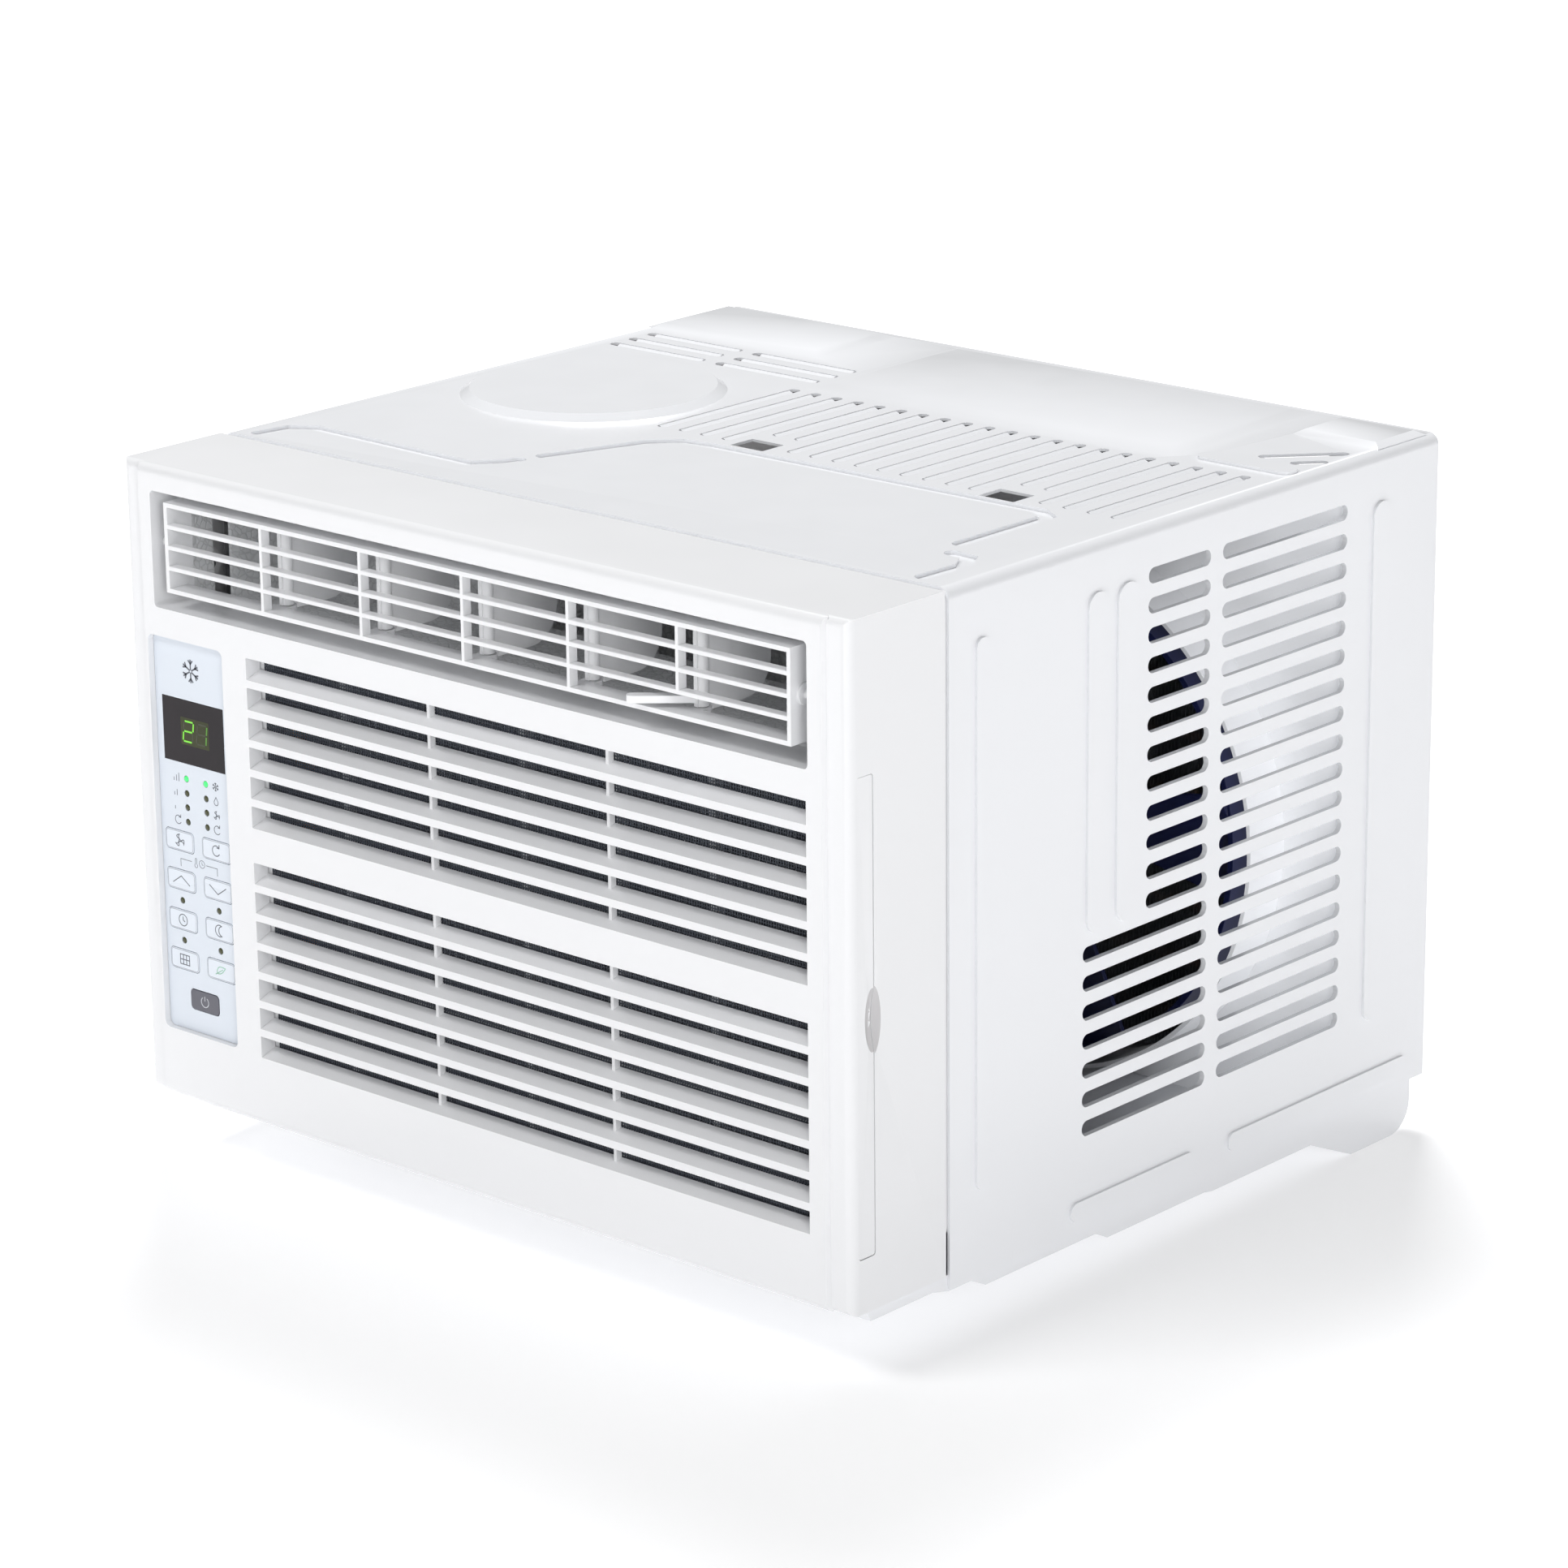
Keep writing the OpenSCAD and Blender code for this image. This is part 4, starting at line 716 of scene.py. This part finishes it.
def segment_strokes(letters, cx, cz, half_w=2.9, half_h=4.5, gap=0.45, slant=0.12):
    """The named segments of a seven-segment digit, leaning to the right."""
    ends = {
        "a": ((-half_w, half_h), (half_w, half_h)), "g": ((-half_w, 0), (half_w, 0)),
        "d": ((-half_w, -half_h), (half_w, -half_h)), "f": ((-half_w, 0), (-half_w, half_h)),
        "b": ((half_w, 0), (half_w, half_h)), "e": ((-half_w, -half_h), (-half_w, 0)),
        "c": ((half_w, -half_h), (half_w, 0)),
    }
    strokes = []
    for letter in letters:
        (x0, z0), (x1, z1) = ends[letter]
        length = math.hypot(x1 - x0, z1 - z0)
        ux, uz = (x1 - x0) / length * gap, (z1 - z0) / length * gap
        points = [(x0 + ux, z0 + uz), (x1 - ux, z1 - uz)]
        strokes.append(([(cx + x + slant * z, cz + z) for x, z in points], False))
    return strokes


def add_display():
    """A dim plate behind two digits of seven segments."""
    low, high = box_mm("display_window")
    plate_x = (low[0] + high[0]) / 2 + PLATE_SHIFT_X
    plate_z = low[2] + PLATE_UP
    glass = low[1]
    plate = Piece("digit_plate")
    plate.prism(rounded(plate_x, plate_z, *PLATE_HALF, 0.4), glass - PLATE_PROUD, glass + INK_SINK)
    plate.done(DIGIT_PLATE, "root", "display_lens")
    for name, parts, look in (
        ("digit_two", (("abged", LEFT_DIGIT),), DIGIT_ON),
        ("digit_one", (("bc", RIGHT_DIGIT),), DIGIT_DIM),
        ("digit_segments_off", (("fc", LEFT_DIGIT), ("afged", RIGHT_DIGIT)), DIGIT_OFF),
    ):
        digit = Piece(name)
        for letters, step in parts:
            strokes = segment_strokes(letters, plate_x + step, plate_z)
            draw(digit, strokes, 0, 0, SEGMENT_WIDTH, glass - PLATE_PROUD)
        digit.done(look, "root", "display_lens")


add_key_marks()
all_lamps = lamp_spots()
lamp_columns = mode_columns(all_lamps)
add_lamp_lenses(all_lamps, [column[0] for column in lamp_columns])
add_legend(lamp_columns)
add_display()


# ---------------------------------------------------------------- filter and coils
STRAND_PITCH = 1.35
STRAND_HALF = 0.24
STRAND_DEPTH = 0.28    # a layer's outer face from the middle of the net
STRAND_LAP = 0.02      # a layer's inner face past the middle of the net
FIN_PITCH = 1.9
FIN_HALF = 0.1
FIN_CREASE = 0.3


def spread(start, end, pitch):
    """Evenly spaced places between start and end, about a pitch apart."""
    count = max(2, round((end - start) / pitch))
    return [start + (end - start) * (i + 0.5) / count for i in range(count)]


def add_filter_weave():
    """Net of strands in two crossed layers, in place of the plain sheet."""
    low, high = box_mm("filter_mesh")
    mid = (low[1] + high[1]) / 2
    weave = Piece("filter_weave")
    for x in spread(low[0], high[0], STRAND_PITCH):
        weave.box((x - STRAND_HALF, mid - STRAND_DEPTH, low[2]), (x + STRAND_HALF, mid + STRAND_LAP, high[2]))
    for z in spread(low[2], high[2], STRAND_PITCH):
        weave.box((low[0], mid - STRAND_LAP, z - STRAND_HALF), (high[0], mid + STRAND_DEPTH, z + STRAND_HALF))
    weave.done(LOOKS["filter_screen"], "air_filter", "filter_screen", ("filter_mesh",))


def add_fin_pack(node):
    """Close-pitched fins with a shallow crease along the middle, in place of the coarse pack."""
    low, high = box_mm(node)
    mid = (low[1] + high[1]) / 2
    pack = Piece(node + "_close_pitch")
    for x in spread(low[0], high[0], FIN_PITCH):
        left, right = x - FIN_HALF, x + FIN_HALF
        plan = [
            (left, low[1]), (right, low[1]), (right + FIN_CREASE, mid),
            (right, high[1]), (left, high[1]), (left + FIN_CREASE, mid),
        ]
        n = len(plan)
        vertices = [(px, py, z) for z in (low[2], high[2]) for px, py in plan]
        faces = [tuple(range(n - 1, -1, -1)), tuple(range(n, 2 * n))]
        faces += [(i, (i + 1) % n, n + (i + 1) % n, n + i) for i in range(n)]
        pack.add(vertices, faces)
    pack.done(LOOKS["fin_aluminium"], "root", "fin_aluminium", (node,))


add_filter_weave()
add_fin_pack("evaporator_fins")
add_fin_pack("condenser_fins")


# ---------------------------------------------------------------- stage
def look_at_matrix(position, azimuth, elevation, roll):
    """A camera's matrix at position, looking along a bearing and downwards, angles in degrees."""
    a, e, r = (math.radians(v) for v in (azimuth, elevation, roll))
    back = Vector((math.sin(a) * math.cos(e), -math.cos(a) * math.cos(e), math.sin(e)))
    right = Vector((0, 0, 1)).cross(back).normalized()
    up = back.cross(right)
    turned_right = right * math.cos(r) + up * math.sin(r)
    turned_up = up * math.cos(r) - right * math.sin(r)
    basis = Matrix((turned_right, turned_up, back)).transposed().to_4x4()
    return Matrix.Translation(position) @ basis


def add_camera():
    position = Vector((1.5016, -1.6811, 0.8656))
    camera = bpy.data.objects.new("camera", bpy.data.cameras.new("camera"))
    camera.data.lens = 125.57
    camera.data.sensor_width = 36
    camera.data.clip_end = 50
    camera.matrix_world = look_at_matrix(position, azimuth=41.74, elevation=17.30, roll=-0.62)
    bpy.context.scene.collection.objects.link(camera)
    bpy.context.scene.camera = camera


def add_area(name, position, size, power):
    """A white area light aimed at the middle of the object."""
    target = Vector((0, 0, 0.15))
    light = bpy.data.objects.new(name, bpy.data.lights.new(name, "AREA"))
    light.data.shape = "RECTANGLE"
    light.data.size, light.data.size_y = size
    light.data.energy = power
    light.location = position
    light.rotation_euler = (target - Vector(position)).to_track_quat("-Z", "Y").to_euler()
    bpy.context.scene.collection.objects.link(light)


def add_floor():
    """Pale paper floor, lit evenly into the distance."""
    half = 8
    corners = [(-half, -half, 0), (half, -half, 0), (half, half, 0), (-half, half, 0)]
    mesh = bpy.data.meshes.new("floor")
    mesh.from_pydata(corners, [], [(0, 1, 2, 3)])
    floor = bpy.data.objects.new("floor", mesh)
    bpy.context.scene.collection.objects.link(floor)
    s = Shader("floor_paper", (0.85, 0.85, 0.86), 0.85)
    s.tint(s.noise(2, 2), (0.845, 0.845, 0.852), (0.855, 0.855, 0.862))
    s.bsdf.inputs["Emission Color"].default_value = (1, 1, 1, 1)
    near, far, near_glow, far_glow = 0.6, 2.6, 0.34, 0.72
    distance = s.add("ShaderNodeVectorMath", operation="LENGTH")
    s.link(s.coordinates, distance.inputs[0])
    strength = s.remap(distance.outputs["Value"], near, far, near_glow, far_glow)
    s.link(strength, s.bsdf.inputs["Emission Strength"])
    mesh.materials.append(s.material)


def add_lights():
    world = bpy.data.worlds.new("studio")
    bpy.context.scene.world = world
    world.use_nodes = True
    background = world.node_tree.nodes["Background"]
    background.inputs["Color"].default_value = (1, 1, 1, 1)
    background.inputs["Strength"].default_value = 0.30
    add_area("front_key", (-0.7, -2.2, 2.8), (1.4, 0.9), 38)
    add_area("side_soft", (2.5, -1.7, 0.85), (0.9, 1.3), 25.5)
    add_area("top_soft", (-1.0, 1.2, 2.6), (1.0, 1.0), 58)
    bpy.context.scene.view_settings.view_transform = "Standard"


add_camera()
add_floor()
add_lights()
